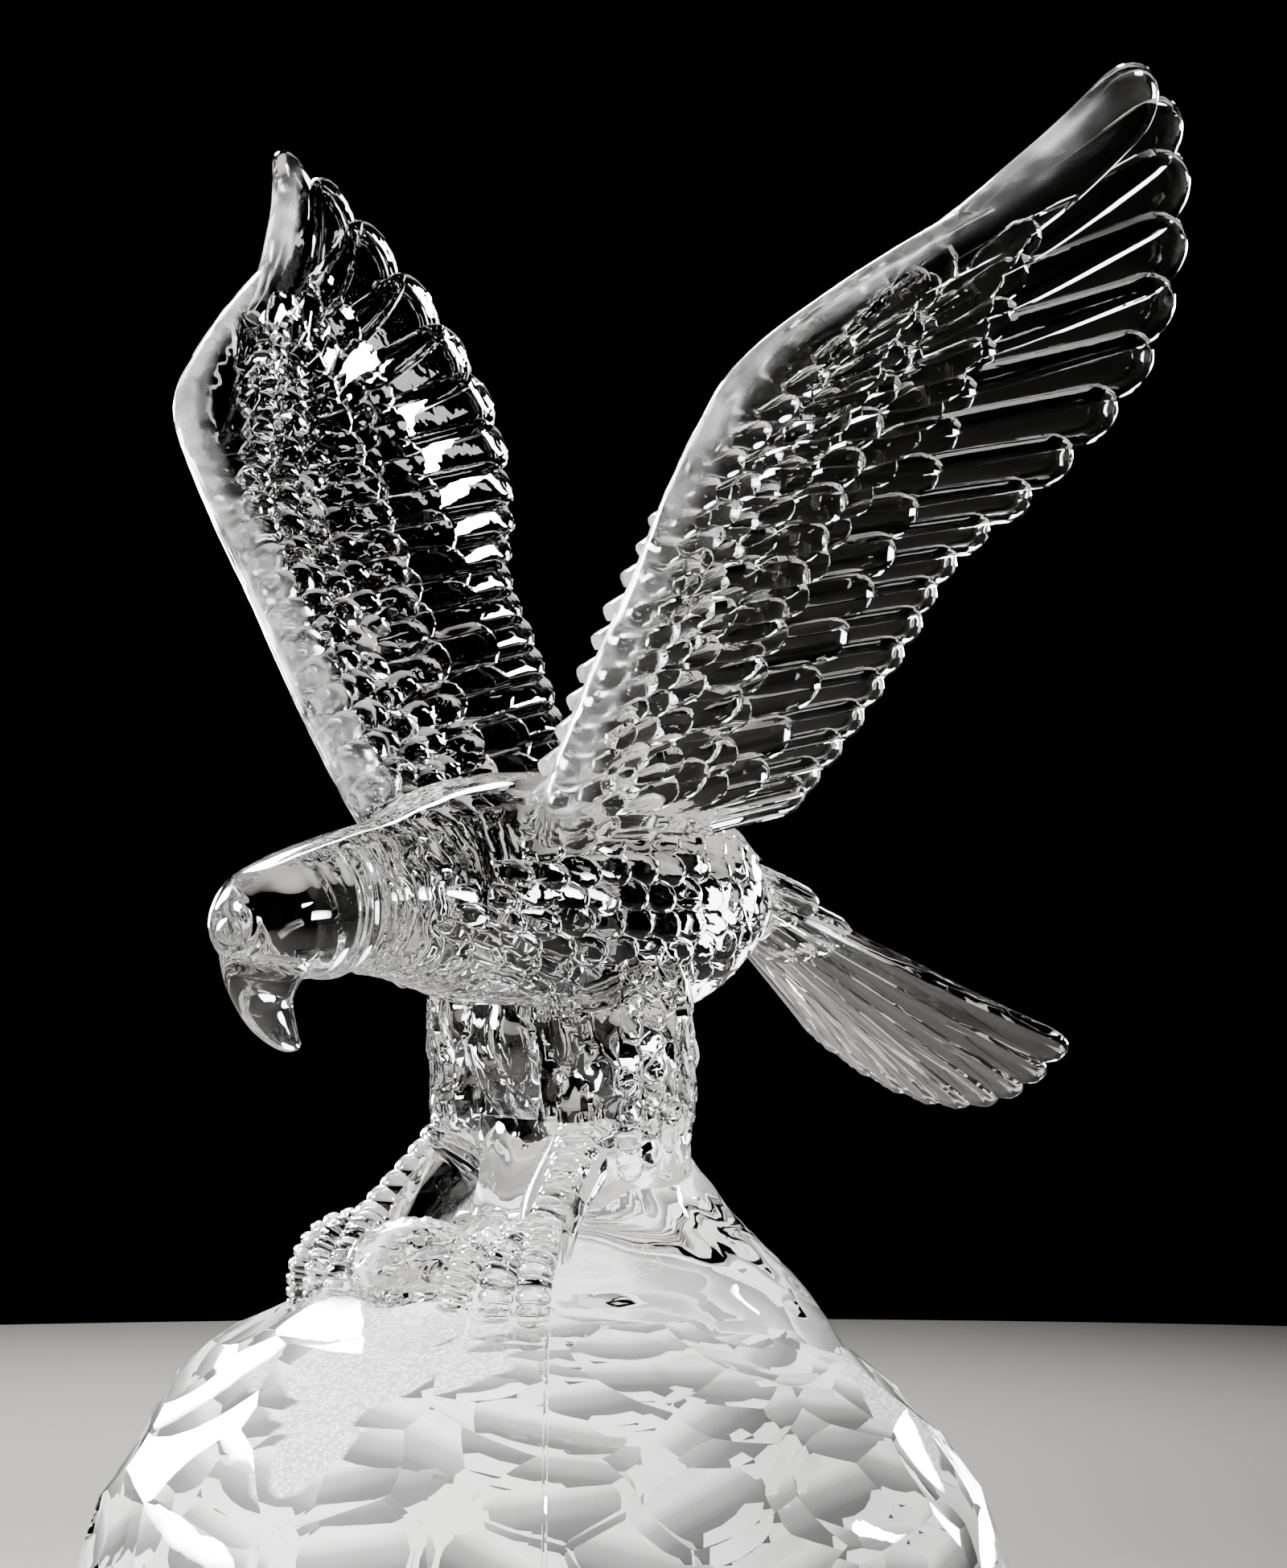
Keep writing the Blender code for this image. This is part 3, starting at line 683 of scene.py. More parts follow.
def fan(name, count, root, side_tip, middle_tip, half_width, thickness, bend, **look):
    """Feathers that spread from root (half width, y, z) to the tips; middle_tip is (y, z)."""
    root_x, root_y, root_z = root
    tip_x, tip_y, tip_z = side_tip
    middle_y, middle_z = middle_tip
    half = (count - 1) / 2
    for i in range(count):
        share = (i - half) / half
        start = Vector((root_x * share, root_y, root_z + TAIL_DISH * share**2))
        end = Vector((tip_x * share, middle_y + (tip_y - middle_y) * share**2,
                      middle_z + (tip_z - middle_z) * share**2))
        run = (end - start).normalized()
        roll = TAIL_ROLL * share
        across = Vector((math.cos(roll), 0, math.sin(roll)))
        across = (across - run * across.dot(run)).normalized()
        lift = run.cross(across)

        def place(point, start=start, run=run, across=across, lift=lift):
            return on_bird(start + run * point[0] + across * point[1] + lift * point[2])

        feather(name, place, (0.0, 0.0), ((end - start).length - TAIL_INSET, 0.0), half_width, thickness,
                bend=-bend * share, **look)


fan("tail", TAIL_FEATHERS, TAIL_ROOT, TAIL_SIDE_TIP, TAIL_MIDDLE_TIP, TAIL_HALF_WIDTH, TAIL_THICKNESS,
    TAIL_BEND, **TAIL_LOOK)
for row in TAIL_COVERT_ROWS:
    fan("tail_covert", *row, TAIL_COVERT_HALF_WIDTH, TAIL_COVERT_THICKNESS, 0.0, **TAIL_COVERT_LOOK)

# %% [markdown]
# Small scales cover the arm of each wing and the bird's flanks and thighs. A displacement texture could
# raise them, but it blurs their crisp round ends. Each one is a small feather instead, and it has to lie on
# the skin that is already there, so its place is found by a ray: where the ray hits, the scale is laid in
# the plane that touches the skin, with its round end proud.

# %% Scales laid on a skin
def surface_of(*things):
    """Tree for rays at the skins of these objects."""
    points = []
    faces = []
    for thing in things:
        first = len(points)
        points += [vertex.co.copy() for vertex in thing.data.vertices]
        faces += [[first + k for k in face.vertices] for face in thing.data.polygons]
    return BVHTree.FromPolygons(points, faces)


def scale(name, surface, eye, aim, flow, length, half_width, thickness, **look):
    """Scale on the skin that a ray from eye along aim meets first, its round end pointing along flow."""
    hit, normal, _, _ = surface.ray_cast(eye, aim)
    if hit is None:
        return
    if normal.dot(aim) > 0:
        normal = -normal
    run = (flow - normal * flow.dot(normal)).normalized()
    across = normal.cross(run)

    def place(point):
        return hit + (run * point[0] + across * point[1] + normal * point[2]) * MM

    feather(name, place, (-0.5 * length, 0.0), (0.5 * length, 0.0), half_width, thickness, **look)


print("faces that the arms' scales are laid on:", sum(len(thing.data.polygons) for thing in arms.values()))

# %% [markdown]
# Under the wing the arm's scales are flat shingles, and on top of it they are round pebbles, so the middle
# of those swells. A random scatter would be quicker, but it leaves gaps. These run in rows behind the
# leading edge, staggered by half a step as scales are, and get smaller towards the tip. A seeded random
# draw varies their sizes a little, and is the same on both wings.

# %% Scales on the arms
# Scales on the lower and the upper face of the arm: face, how far back each row lies from the leading edge,
# step up the arm, length, half width, thickness at the root and tip, and how far the middle swells, in
# millimetres
ARM_SCALES = (
    (1, (7.6, 12.0), 4.4, 5.8, 2.4, (0.7, 2.4), 0.0),
    (-1, (3.6, 9.6, 15.6, 21.4), 5.3, 8.0, 2.9, (1.0, 2.2), 0.9),
)
ARM_SCALES_FROM_TO = (-5.0, 98.0)
ARM_SCALE_GRID = {"along": 6, "across": 6}
ARM_SCALE_SEED = 11
# Each row ends this much nearer the shoulder than the one ahead of it
ROW_SHORTER = 2.0
SIZE_AT_ROOT = 1.1
SIZE_LOST = 0.2
SIZE_STRAY = 0.08
# The rows spread where the arm is widest, at the wrist: place, reach and share
WRIST = 72.0
WRIST_REACH = 14.0
WRIST_SPREAD = 0.25
HAND_END = 100.0
ABOVE_BLADE = 20.0


def arm_scales(side):
    place = wing_places[side]
    surface = surface_of(arms[side])
    draw = random.Random(ARM_SCALE_SEED)
    first, last = ARM_SCALES_FROM_TO
    arm_start = ARM_ROWS[0][0]
    arm_length = ARM_ROWS[-1][0] - arm_start
    for face, rows, step, length, half_width, thickness, swell in ARM_SCALES:
        for row, offset in enumerate(rows):
            up = first + 0.5 * step * (row % 2)
            while up < last - ROW_SHORTER * row:
                lead_back = spline(ARM_ROWS, (up - arm_start) / arm_length)[1]
                stray = draw.uniform(-SIZE_STRAY, SIZE_STRAY)
                size = SIZE_AT_ROOT - SIZE_LOST * max(0.0, up) / last + stray
                back = lead_back + offset * (1 + WRIST_SPREAD * bell(up - WRIST, WRIST_REACH))
                run = flight_run(1 - max(0.0, min(1.0, up / HAND_END)))
                middle = place((up, back, 0.0))
                eye = place((up, back, ABOVE_BLADE * face))
                flow = place((up + run.x, back + run.y, 0.0)) - middle
                scale("scale", surface, eye, (middle - eye).normalized(), flow, length * size,
                      half_width * size, thickness, hollow=-swell, **ARM_SCALE_GRID)
                up += step * size


for side in (1, -1):
    arm_scales(side)

# %% [markdown]
# On the real flanks the scales point back along the body, and on the thighs they point down. Rays come in
# from the side, at a fan of slopes for the rows of the flanks, and from the side and behind for the thighs,
# whose fronts have the streaks. The scales are flat shingles with a raised round end: hollow ones were
# tried, and their many small lenses made the glass look noisy instead of scaly.

# %% Scales on the flanks and thighs
# Rays of the flank's rows, in degrees up from level, and the y at which each row starts
FLANK_ROWS = ((-66, -18), (-55, -24), (-44, -32), (-33, -40), (-22, -43), (-11, -44), (0, -42), (11, -38),
              (22, -30), (33, -16))
FLANK_TO = 30.0
FLANK_STEP = 6.0
FLANK_SEED = 5
FLANK_STRAY = 1.5
FLANK_AXIS_Z = 59.0
# Least fall of a scale's direction for each unit back, and the most that a draw adds to it
FLANK_FALL = (0.15, 0.15)
# Length, half width, and thickness at the root and tip
FLANK_SCALE = (8.4, 2.7, (0.4, 2.6))
FLANK_GRID = {"along": 7, "across": 7}
# Size at the neck, how much it gains over the shoulder and loses again at the rump, and where
FLANK_SIZE = 0.85
FLANK_GAIN = 0.2
FLANK_GAIN_FROM_TO = (-40.0, -20.0)
FLANK_LOSS_FROM_TO = (10.0, 30.0)
# Rays of the thigh's rows, in degrees back from the side
THIGH_RAYS = (-30, -10, 10, 30, 50, 70, 90, 110)
THIGH_TOP = 47.0
THIGH_BOTTOM = 15.0
THIGH_STEP = 4.4
THIGH_SEED = 6
THIGH_STRAY = 3.0
THIGH_AXIS = (12.4, -7.4)
THIGH_FLOW = Vector((0.0, 0.25, -1.0))
THIGH_SCALE = (6.4, 2.4, (0.4, 2.2))
THIGH_SCALE_GRID = {"along": 6, "across": 6}
# How far from the middle, in metres, the rays start, well outside the skin
OUTSIDE_BODY = 0.06
OUTSIDE_THIGH = 0.05


def flank_scales(side):
    surface = surface_of(body_skin)
    draw = random.Random(FLANK_SEED)
    length, half_width, thickness = FLANK_SCALE
    for row, (tilt, start) in enumerate(FLANK_ROWS):
        y = start + 0.5 * FLANK_STEP * (row % 2)
        while y < FLANK_TO:
            angle = math.radians(tilt + draw.uniform(-FLANK_STRAY, FLANK_STRAY))
            aim = Vector((-side * math.cos(angle), 0.0, -math.sin(angle)))
            middle = on_bird((0.0, y, FLANK_AXIS_Z))
            flow = Vector((0.0, 1.0, -FLANK_FALL[0] - FLANK_FALL[1] * draw.random()))
            gain = rise(*FLANK_GAIN_FROM_TO, y) - rise(*FLANK_LOSS_FROM_TO, y)
            size = FLANK_SIZE + FLANK_GAIN * gain
            scale("scale", surface, middle - aim * OUTSIDE_BODY, aim, flow, length * size, half_width * size,
                  thickness, **FLANK_GRID)
            y += FLANK_STEP * size


def thigh_scales(side):
    legs = [thing for thing in shapes.objects
            if thing.name.startswith("thigh") and thing.data.vertices[0].co.x * side > 0]
    surface = surface_of(*legs)
    draw = random.Random(THIGH_SEED)
    for row, turn in enumerate(THIGH_RAYS):
        z = THIGH_TOP - 0.5 * THIGH_STEP * (row % 2)
        while z > THIGH_BOTTOM:
            angle = math.radians(turn + draw.uniform(-THIGH_STRAY, THIGH_STRAY))
            aim = Vector((-side * math.cos(angle), -math.sin(angle), 0.0))
            middle = on_bird((THIGH_AXIS[0] * side, THIGH_AXIS[1], z))
            scale("scale", surface, middle - aim * OUTSIDE_THIGH, aim, THIGH_FLOW, *THIGH_SCALE,
                  **THIGH_SCALE_GRID)
            z -= THIGH_STEP


for side in (1, -1):
    flank_scales(side)
    thigh_scales(side)

# %% [markdown]
# The real rock is cut like a block of ice, in wide flat facets that shift from course to course. A faceted
# dome would be too regular, so a block is cut by planes, as a carver would do it: each touches a smooth
# dome at a drawn place, tips a little and bites in a little. The draw is seeded as in the solid, so they
# match.

# %% Planes of the rock's facets
ROCK_RADIUS = 77.5
ROCK_SIDES = 30
FACET_BITE = 1.2
REAR_BITE = 6.6
# Powers of the dome's outline: height = (1 - radius ** DOME_FALL) ** DOME_ROUND, both as shares
DOME_FALL = 3.0
DOME_ROUND = 0.5
# Slope at the foot, where the outline stands upright
FOOT_SLOPE = -40.0
FACET_STRAY = 0.16
LEAN_STRAY = 0.07
LEAST_BITE = 0.2
# Courses of facets from the foot up: number, share of the height, turn of the first, share of REAR_BITE
COURSES = ((15, 0.10, 0.0, 0.0), (14, 0.34, 0.5, 0.4), (13, 0.58, 0.1, 0.9), (11, 0.76, 0.6, 1.0),
           (8, 0.90, 0.2, 1.0), (5, 0.975, 0.7, 0.6))
CUT_SEED = 7
SLOPE_STEP = 1e-3


def dome_height(share):
    return max(0.0, 1 - share**DOME_FALL) ** DOME_ROUND


def dome_slope(share):
    if share > 1 - SLOPE_STEP:
        return FOOT_SLOPE
    return (dome_height(share + SLOPE_STEP) - dome_height(share - SLOPE_STEP)) / (2 * SLOPE_STEP)


def facet_planes():
    """A point on each flat cut and the way it faces, in millimetres about the rock's axis."""
    draw = random.Random(CUT_SEED)
    planes = []
    for count, height, turn, rear in COURSES:
        radius = (1 - height ** (1 / DOME_ROUND)) ** (1 / DOME_FALL)
        slope = dome_slope(radius)
        for k in range(count):
            angle = 2 * math.pi * (k + turn + draw.uniform(-FACET_STRAY, FACET_STRAY)) / count
            lean = math.atan2(-slope * ROCK_HEIGHT, ROCK_RADIUS) + draw.uniform(-LEAN_STRAY, LEAN_STRAY)
            ahead = Vector((math.cos(angle), math.sin(angle), 0))
            up = Vector((0, 0, 1))
            facing = ahead * math.sin(lean) + up * math.cos(lean)
            point = ahead * radius * ROCK_RADIUS + up * height * ROCK_HEIGHT
            behind = 0.5 * (1 + math.sin(angle))
            bite = FACET_BITE * draw.uniform(LEAST_BITE, 1.0) + REAR_BITE * rear * behind
            planes.append((point - facing * bite, facing))
    return planes


print("flat cuts:", len(facet_planes()))

# %% [markdown]
# The block is a round prism, and each plane takes off what stands out past it and leaves a flat face. Large
# flat faces give long thin triangles when other forms are melted into them, and those break up the shading.
# So every face gets rings of smaller faces inside its outline, and its edges are split into short steps.

# %% Rock with flat facets
CUT_DISTANCE = 1e-4
MERGE_DISTANCE = 0.02
# Length of a step along an edge, and the sizes of the rings inside a face as shares of the face
RIDGE_STEP = 6.0
FACET_RINGS = (0.6, 0.25)
# A face whose normal points lower than this is the underside, and stays whole
FACES_DOWN = -0.9
# Decimals of a millimetre to which two corners have to agree to be one
ROUNDED = 2


def cut_block():
    """Polygons of the flat-cut rock, each a list of corners, in millimetres about its axis."""
    shape = bmesh.new()
    bmesh.ops.create_cone(shape, cap_ends=True, segments=ROCK_SIDES, radius1=ROCK_RADIUS,
                          radius2=ROCK_RADIUS, depth=ROCK_HEIGHT)
    bmesh.ops.translate(shape, verts=shape.verts, vec=(0, 0, ROCK_HEIGHT / 2))
    for point, facing in facet_planes():
        everything = shape.verts[:] + shape.edges[:] + shape.faces[:]
        cut = bmesh.ops.bisect_plane(shape, geom=everything, plane_co=point, plane_no=facing,
                                     clear_outer=True, dist=CUT_DISTANCE)
        edges = [edge for edge in cut["geom_cut"] if isinstance(edge, bmesh.types.BMEdge)]
        if len(edges) > 2:
            bmesh.ops.edgenet_fill(shape, edges=edges)
    bmesh.ops.remove_doubles(shape, verts=shape.verts, dist=MERGE_DISTANCE)
    bmesh.ops.recalc_face_normals(shape, faces=shape.faces)
    polygons = [([vertex.co.copy() for vertex in face.verts], face.normal.copy()) for face in shape.faces]
    shape.free()
    return polygons


def on_rock(spot):
    """Place in metres of a point about the rock's axis, with z = 0 at its foot."""
    return on_bird((spot.x, spot.y + ROCK_AXIS_Y, spot.z - ROCK_HEIGHT))


def rock():
    points = []
    known = {}
    faces = []

    def corner(spot):
        key = (round(spot.x, ROUNDED), round(spot.y, ROUNDED), round(spot.z, ROUNDED))
        if key not in known:
            known[key] = len(points)
            points.append(on_rock(spot))
        return known[key]

    for outline, normal in cut_block():
        border = []
        for start, end in zip(outline, outline[1:] + outline[:1]):
            parts = max(1, round((end - start).length / RIDGE_STEP))
            low, high = sorted((start, end), key=tuple)
            steps = [low.lerp(high, k / parts) for k in range(parts + 1)]
            border += (steps if low == start else steps[::-1])[:-1]
        edge = [corner(spot) for spot in border]
        if normal.z < FACES_DOWN:
            faces.append(edge)
            continue
        middle = sum(border, Vector()) / len(border)
        for share in FACET_RINGS:
            inner = []
            for spot in border:
                inner.append(len(points))
                points.append(on_rock(middle.lerp(spot, share)))
            for k in range(len(edge)):
                after = (k + 1) % len(edge)
                faces.append((edge[k], edge[after], inner[after], inner[k]))
            edge = inner
        faces.append(edge)
    glass = gather("glass_eagle_figurine")
    return solid("glass_casting", points, faces, glass)


casting = rock()
print("rock:", len(casting.data.polygons), "faces")

# %% [markdown]
# A second, finer cut makes the rock look knapped: shallow scoops side by side, long and low like lenses.
# Where two scoops meet, a crisp ridge is left, and that is where the light breaks. Noise could dent the
# rock too, but it leaves no ridges. Each scoop is a bowl-shaped cutter set on the surface by a ray, so it
# sinks to the same depth wherever the flat cuts have put the skin. The hollow inside gets scoops on the same
# rays, and so does the white filling, which shows them as soft shading, partly from the lamps and partly
# painted into its colour as shade.

# %% Scoops
# Rows of scoops: how steeply the ray falls on the rock, in degrees, and how many scoops there are
SCOOP_ROWS = ((-4, 15), (8, 16), (20, 15), (32, 13), (44, 11), (56, 8), (68, 5))
SCOOP_CENTRE_HEIGHT = 8.0
SCOOP_SEED = 4
# Least and most radius along and across a scoop, its depth, and how far its cutter stands over the depth
SCOOP_ALONG = (110.0, 190.0)
SCOOP_ACROSS = (28.0, 44.0)
SCOOP_DEPTH = (1.2, 2.0)
SCOOP_OVER = 1.6
# How far a scoop's ray strays round the rock, as a share of its step, and up and down, in degrees
SCOOP_STRAY = 0.25
SCOOP_LIFT_STRAY = 3.0
SCOOP_SLANT = 30.0
# Rings and sides of a cutter
CASTING_FINENESS = (6, 20)
BOWL_FIRST_RING = 0.3
# Rays to the rock start this far from its middle, in metres
OUTSIDE_ROCK = 0.2
SCOOP_CENTRE = on_bird((0.0, ROCK_AXIS_Y, SCOOP_CENTRE_HEIGHT - ROCK_HEIGHT))


def bowl(spot, normal, along, radii, high, fineness, group):
    """Cutter with a bowl-shaped bottom at spot that opens along the normal up to a level rim."""
    across = normal.cross(along)
    reach = [math.sqrt(2 * radius * high) for radius in radii]
    rings = []
    for i in range(fineness[0]):
        share = (i + BOWL_FIRST_RING) / (fineness[0] - 1 + BOWL_FIRST_RING)
        rings.append([spot + (along * reach[0] * share * a + across * reach[1] * share * b
                              + normal * high * share**2) * MM for a, b, _ in oval(fineness[1])])
    return skin("bowl", rings, group)


def from_outside(surface, turn, lift):
    """Where a ray towards the rock's middle meets a surface, the normal there, and the way back out."""
    out = Vector((math.cos(turn) * math.cos(lift), math.sin(turn) * math.cos(lift), math.sin(lift)))
    hit, normal, _, _ = surface.ray_cast(SCOOP_CENTRE + out * OUTSIDE_ROCK, -out)
    return hit, normal, out


def add_boolean(thing, operation, group):
    step = thing.modifiers.new(operation.lower(), "BOOLEAN")
    step.operation = operation
    step.solver = "MANIFOLD"
    step.operand_type = "COLLECTION"
    step.collection = group


def apply_modifiers(thing):
    graph = bpy.context.evaluated_depsgraph_get()
    thing.data = bpy.data.meshes.new_from_object(thing.evaluated_get(graph))
    thing.modifiers.clear()


def discard(group):
    for form in list(group.objects):
        bpy.data.objects.remove(form)
    bpy.data.collections.remove(group)


def scoop(thing, size, fineness):
    """Cut the rows of scoops, at a size, into a thing on the rock's axis; gives their places."""
    bowls = gather("bowls")
    places = []
    surface = surface_of(thing)
    draw = random.Random(SCOOP_SEED)
    for row, (steep, count) in enumerate(SCOOP_ROWS):
        for k in range(count):
            turn = 2 * math.pi * (k + 0.5 * (row % 2) + draw.uniform(-SCOOP_STRAY, SCOOP_STRAY)) / count
            lift = math.radians(steep + draw.uniform(-SCOOP_LIFT_STRAY, SCOOP_LIFT_STRAY))
            hit, normal, _ = from_outside(surface, turn, lift)
            slant = math.radians(draw.uniform(-SCOOP_SLANT, SCOOP_SLANT))
            level = Vector((-math.sin(turn), math.cos(turn), 0))
            level = (level - normal * level.dot(normal)).normalized()
            along = level * math.cos(slant) + normal.cross(level) * math.sin(slant)
            radii = [draw.uniform(*SCOOP_ALONG) * size, draw.uniform(*SCOOP_ACROSS) * size]
            depth = draw.uniform(*SCOOP_DEPTH) * size
            spot = hit - normal * depth * MM
            bowl(spot, normal, along, radii, depth + SCOOP_OVER, fineness, bowls)
            places.append((spot, normal, along, radii))
    add_boolean(thing, "DIFFERENCE", bowls)
    apply_modifiers(thing)
    discard(bowls)
    print(thing.name, "has", len(places), "scoops and", len(thing.data.polygons), "faces")
    return places


scoop(casting, 1.0, CASTING_FINENESS)

# %% [markdown]
# The two halves of the mould met in a fine line that still runs down the rock. A line drawn in the finish
# would not catch the light, so it is a thin round bead that follows the scoops: rays from a fan of heights
# find the skin, and each carries one ring of the bead.

# %% Mould seam on the rock
SEAM_TURN = math.radians(-45)
SEAM_RADIUS = 0.4
SEAM_SIDES = 8
# Degrees up from level, at every one of which the bead has a ring
SEAM_FROM_TO = (-4, 62)


def rock_seam():
    surface = surface_of(casting)
    level = Vector((-math.sin(SEAM_TURN), math.cos(SEAM_TURN), 0))
    rings = []
    for steep in range(*SEAM_FROM_TO):
        hit, _, out = from_outside(surface, SEAM_TURN, math.radians(steep))
        rings.append([hit + (level * a + out * b) * SEAM_RADIUS * MM for a, b, _ in oval(SEAM_SIDES)])
    return skin("seam", rings)


print("seam:", len(rock_seam().data.polygons), "faces")

# %% [markdown]
# The bird's legs run down into a rise of clear glass behind the feet. On the real one it is wavy like
# half-melted ice, with a flatter front between the shanks. It could be sculpted, but a turned form pushed
# about by smooth noise is close, and it stays closed for the union.

# %% Rise behind the legs
# Radius and height of each turned ring
CROWN = ((7.0, 23.0), (16.0, 20.6), (20.4, 15.4), (25.0, 8.4), (31.6, 1.6), (38.4, -5.2), (45.4, -17.0))
CROWN_Y = -5.0
# Radius of the flatter front
CROWN_FRONT = 15.0
CROWN_GRID = (40, 96)
# Where the flatter front fades in, round the rise and up it
CROWN_FRONT_ROUND = (0.1, 0.8)
CROWN_FRONT_UP = (-1.0, 8.0)
# Waves and finer ripples: how quickly they change round the rise and up it, and their height as a share
WAVE_PATCH = (2.4, 0.09)
RIPPLE_PATCH = (5.5, 0.25)
WAVE_SHARE = 0.05
RIPPLE_SHARE = 0.01
RIPPLE_LIFT = 0.3


def crown():
    rings = []
    for radius, height in rows_along(CROWN, CROWN_GRID[0]):
        ring = []
        for a, b, _ in oval(CROWN_GRID[1]):
            wave, ripple = (noise(Vector((wide * a, wide * b, high * height)))
                            for wide, high in (WAVE_PATCH, RIPPLE_PATCH))
            front = rise(*CROWN_FRONT_ROUND, -b) * rise(*CROWN_FRONT_UP, height)
            wall = radius + (CROWN_FRONT - radius) * front
            reach = wall * (1 + WAVE_SHARE * wave + RIPPLE_SHARE * ripple)
            ring.append(on_bird((reach * a, CROWN_Y + reach * b, height + RIPPLE_LIFT * ripple)))
        rings.append(ring)
    return skin("crown", rings)


print("rise:", len(crown().data.polygons), "faces")

# %% [markdown]
# A round knob stands between the feet, pitted all over as if it had been pressed into sand. It is a ball
# with unlike radii, turned by an eighth of a circle, and two sizes of noise push its skin in and out. An
# icosphere would spread its points more evenly, but rings are what the other forms use, and the poles don't
# show.

# %% Knob between the feet
KNOB = (3.6, -42.4, 0.2)
KNOB_RADII = (11.0, 8.6, 8.0)
KNOB_TURN = math.radians(45)
KNOB_PIT = 0.035
KNOB_GRID = (44, 72)
# Pits to a radius, large and fine, and how deep the fine ones are beside the large ones
LARGE_PITS = 9
FINE_PITS = 20
FINE_SHARE = 0.7


def knob():
    wide, deep, high = KNOB_RADII
    rings = []
    for i in range(1, KNOB_GRID[0]):
        polar = math.pi * i / KNOB_GRID[0]
        ring = []
        for a, b, _ in oval(KNOB_GRID[1]):
            facing = Vector((math.sin(polar) * a, math.sin(polar) * b, math.cos(polar)))
            reach = 1 + KNOB_PIT * (noise(facing * LARGE_PITS) + FINE_SHARE * noise(facing * FINE_PITS))
            spot = Vector((facing.x * wide, facing.y * deep, facing.z * high)) * reach
            ring.append(on_bird(Vector(KNOB) + Matrix.Rotation(KNOB_TURN, 3, "Z") @ spot))
        rings.append(ring)
    return skin("knob", rings)


knob()

# %% [markdown]
# The rock's underside is hollow, and the hollow is filled with white. It is a turned dome, scooped on the
# same rays as the rock outside. Solidify could make the wall of the rock even, but it would copy every flat
# facet to the inside, and the real filling is rounder than the rock.

# %% Hollow under the rock
RIM_WALL = 15.0
ROOF_WALL = 16.0
# Below 1 the dome is fuller than half a ball
CORE_ROUND = 0.8
CORE_STEPS = 24
CORE_SIDES = 96
# How far the cutter reaches below the rock's foot, in millimetres
BELOW = 0.3


def core_dome(name, grow, floor, group):
    """Turned dome of the hollow, grown by some millimetres on every side."""
    radius = ROCK_RADIUS - RIM_WALL + grow
    height = ROCK_HEIGHT - ROOF_WALL + grow
    profile = [(radius, floor)]
    for k in range(1, CORE_STEPS):
        up = 0.5 * math.pi * k / CORE_STEPS
        profile.append((radius * math.cos(up) ** CORE_ROUND, height * math.sin(up)))
    rings = [[on_bird((reach * a, ROCK_AXIS_Y + reach * b, level - ROCK_HEIGHT))
              for a, b, _ in oval(CORE_SIDES)] for reach, level in profile]
    return skin(name, rings, group)


CORE_SCOOP_SIZE = 1.05
CORE_SCOOP_FINENESS = (5, 16)
scoop(core_dome("hollow", 0.0, -BELOW, cuts), CORE_SCOOP_SIZE, CORE_SCOOP_FINENESS)

# %% [markdown]
# The nostrils are two small slanting slits, and the gape is a fine groove back along the beak's side. A
# dark line in the finish would do on a painted bird, but clear glass only shows what is cut into it, so
# thin tubes along both lines are taken out of the head with the hollow.

# %% Nostrils and gape
NOSTRIL = ((7.2, -74.6, 53.2), (7.9, -73.0, 54.6), (8.5, -71.2, 55.4))
GAPE = ((4.2, -76.6, 48.2), (6.6, -74.6, 46.8), (7.9, -72.0, 47.0), (8.6, -69.4, 48.6), (8.8, -67.4, 50.8))
NOSTRIL_RADIUS = 0.6
GAPE_RADIUS = 0.4
SLIT_GRID = (16, 12)
for side in (1, -1):
    for name, line, radius in (("nostril", NOSTRIL, NOSTRIL_RADIUS), ("gape", GAPE, GAPE_RADIUS)):
        stations = [(side * x, y, z, radius, radius) for x, y, z in rows_along(line, SLIT_GRID[0])]
        tube(name, stations, SLIT_GRID[1], group=cuts)

# %% [markdown]
# Now the forms are melted into one skin, as the glass ran together in the mould. A voxel remesh would do it
# in one step, but it would round off every rim. The Boolean's manifold solver keeps them, needs every form
# closed, and is quick with hundreds of them. The finished mesh is kept, and the forms are deleted.

# %% Unite and cut
def report(thing):
    """Print how many triangles a thing has, and how many edges that don't have two faces."""
    shape = bmesh.new()
    shape.from_mesh(thing.data)
    triangles = sum(len(face.verts) - 2 for face in shape.faces)
    loose = sum(1 for edge in shape.edges if len(edge.link_faces) != 2)
    shape.free()
    print(thing.name, triangles, "triangles", loose, "open edges")


add_boolean(casting, "UNION", shapes)
add_boolean(casting, "DIFFERENCE", cuts)
apply_modifiers(casting)
casting.data.name = casting.name
discard(shapes)
discard(cuts)
report(casting)

# %% [markdown]
# The union leaves more triangles than the skin needs, above all where it is nearly flat, and a reusable
# part should be light. Coarser forms would be lighter too, but round tips would turn angular. A Decimate
# modifier takes triangles out where they do least. It leaves a few edges pinched, and those are drawn
# together.

# %% Thin out
MOST_TRIANGLES = 190000
CLOSING_ROUNDS = 12
NO_LENGTH = 1e-7


def close_pinches(shape):
    """Draw together the few edges that thinning leaves with too many faces or too few."""
    for _ in range(CLOSING_ROUNDS):
        pinched = [edge for edge in shape.edges if len(edge.link_faces) != 2]
        if not pinched:
            break
        bmesh.ops.collapse(shape, edges=pinched)
        bmesh.ops.dissolve_degenerate(shape, dist=NO_LENGTH, edges=shape.edges)
        known = set()
        twins = []
        for face in shape.faces:
            key = frozenset(vertex.index for vertex in face.verts)
            if key in known:
                twins.append(face)
            known.add(key)
        bmesh.ops.delete(shape, geom=twins, context="FACES")
        loose = [vertex for vertex in shape.verts if not vertex.link_faces]
        bmesh.ops.delete(shape, geom=loose, context="VERTS")
        shape.verts.index_update()


def rework(thing, *steps):
    shape = bmesh.new()
    shape.from_mesh(thing.data)
    for step in steps:
        step(shape)
    shape.to_mesh(thing.data)
    shape.free()


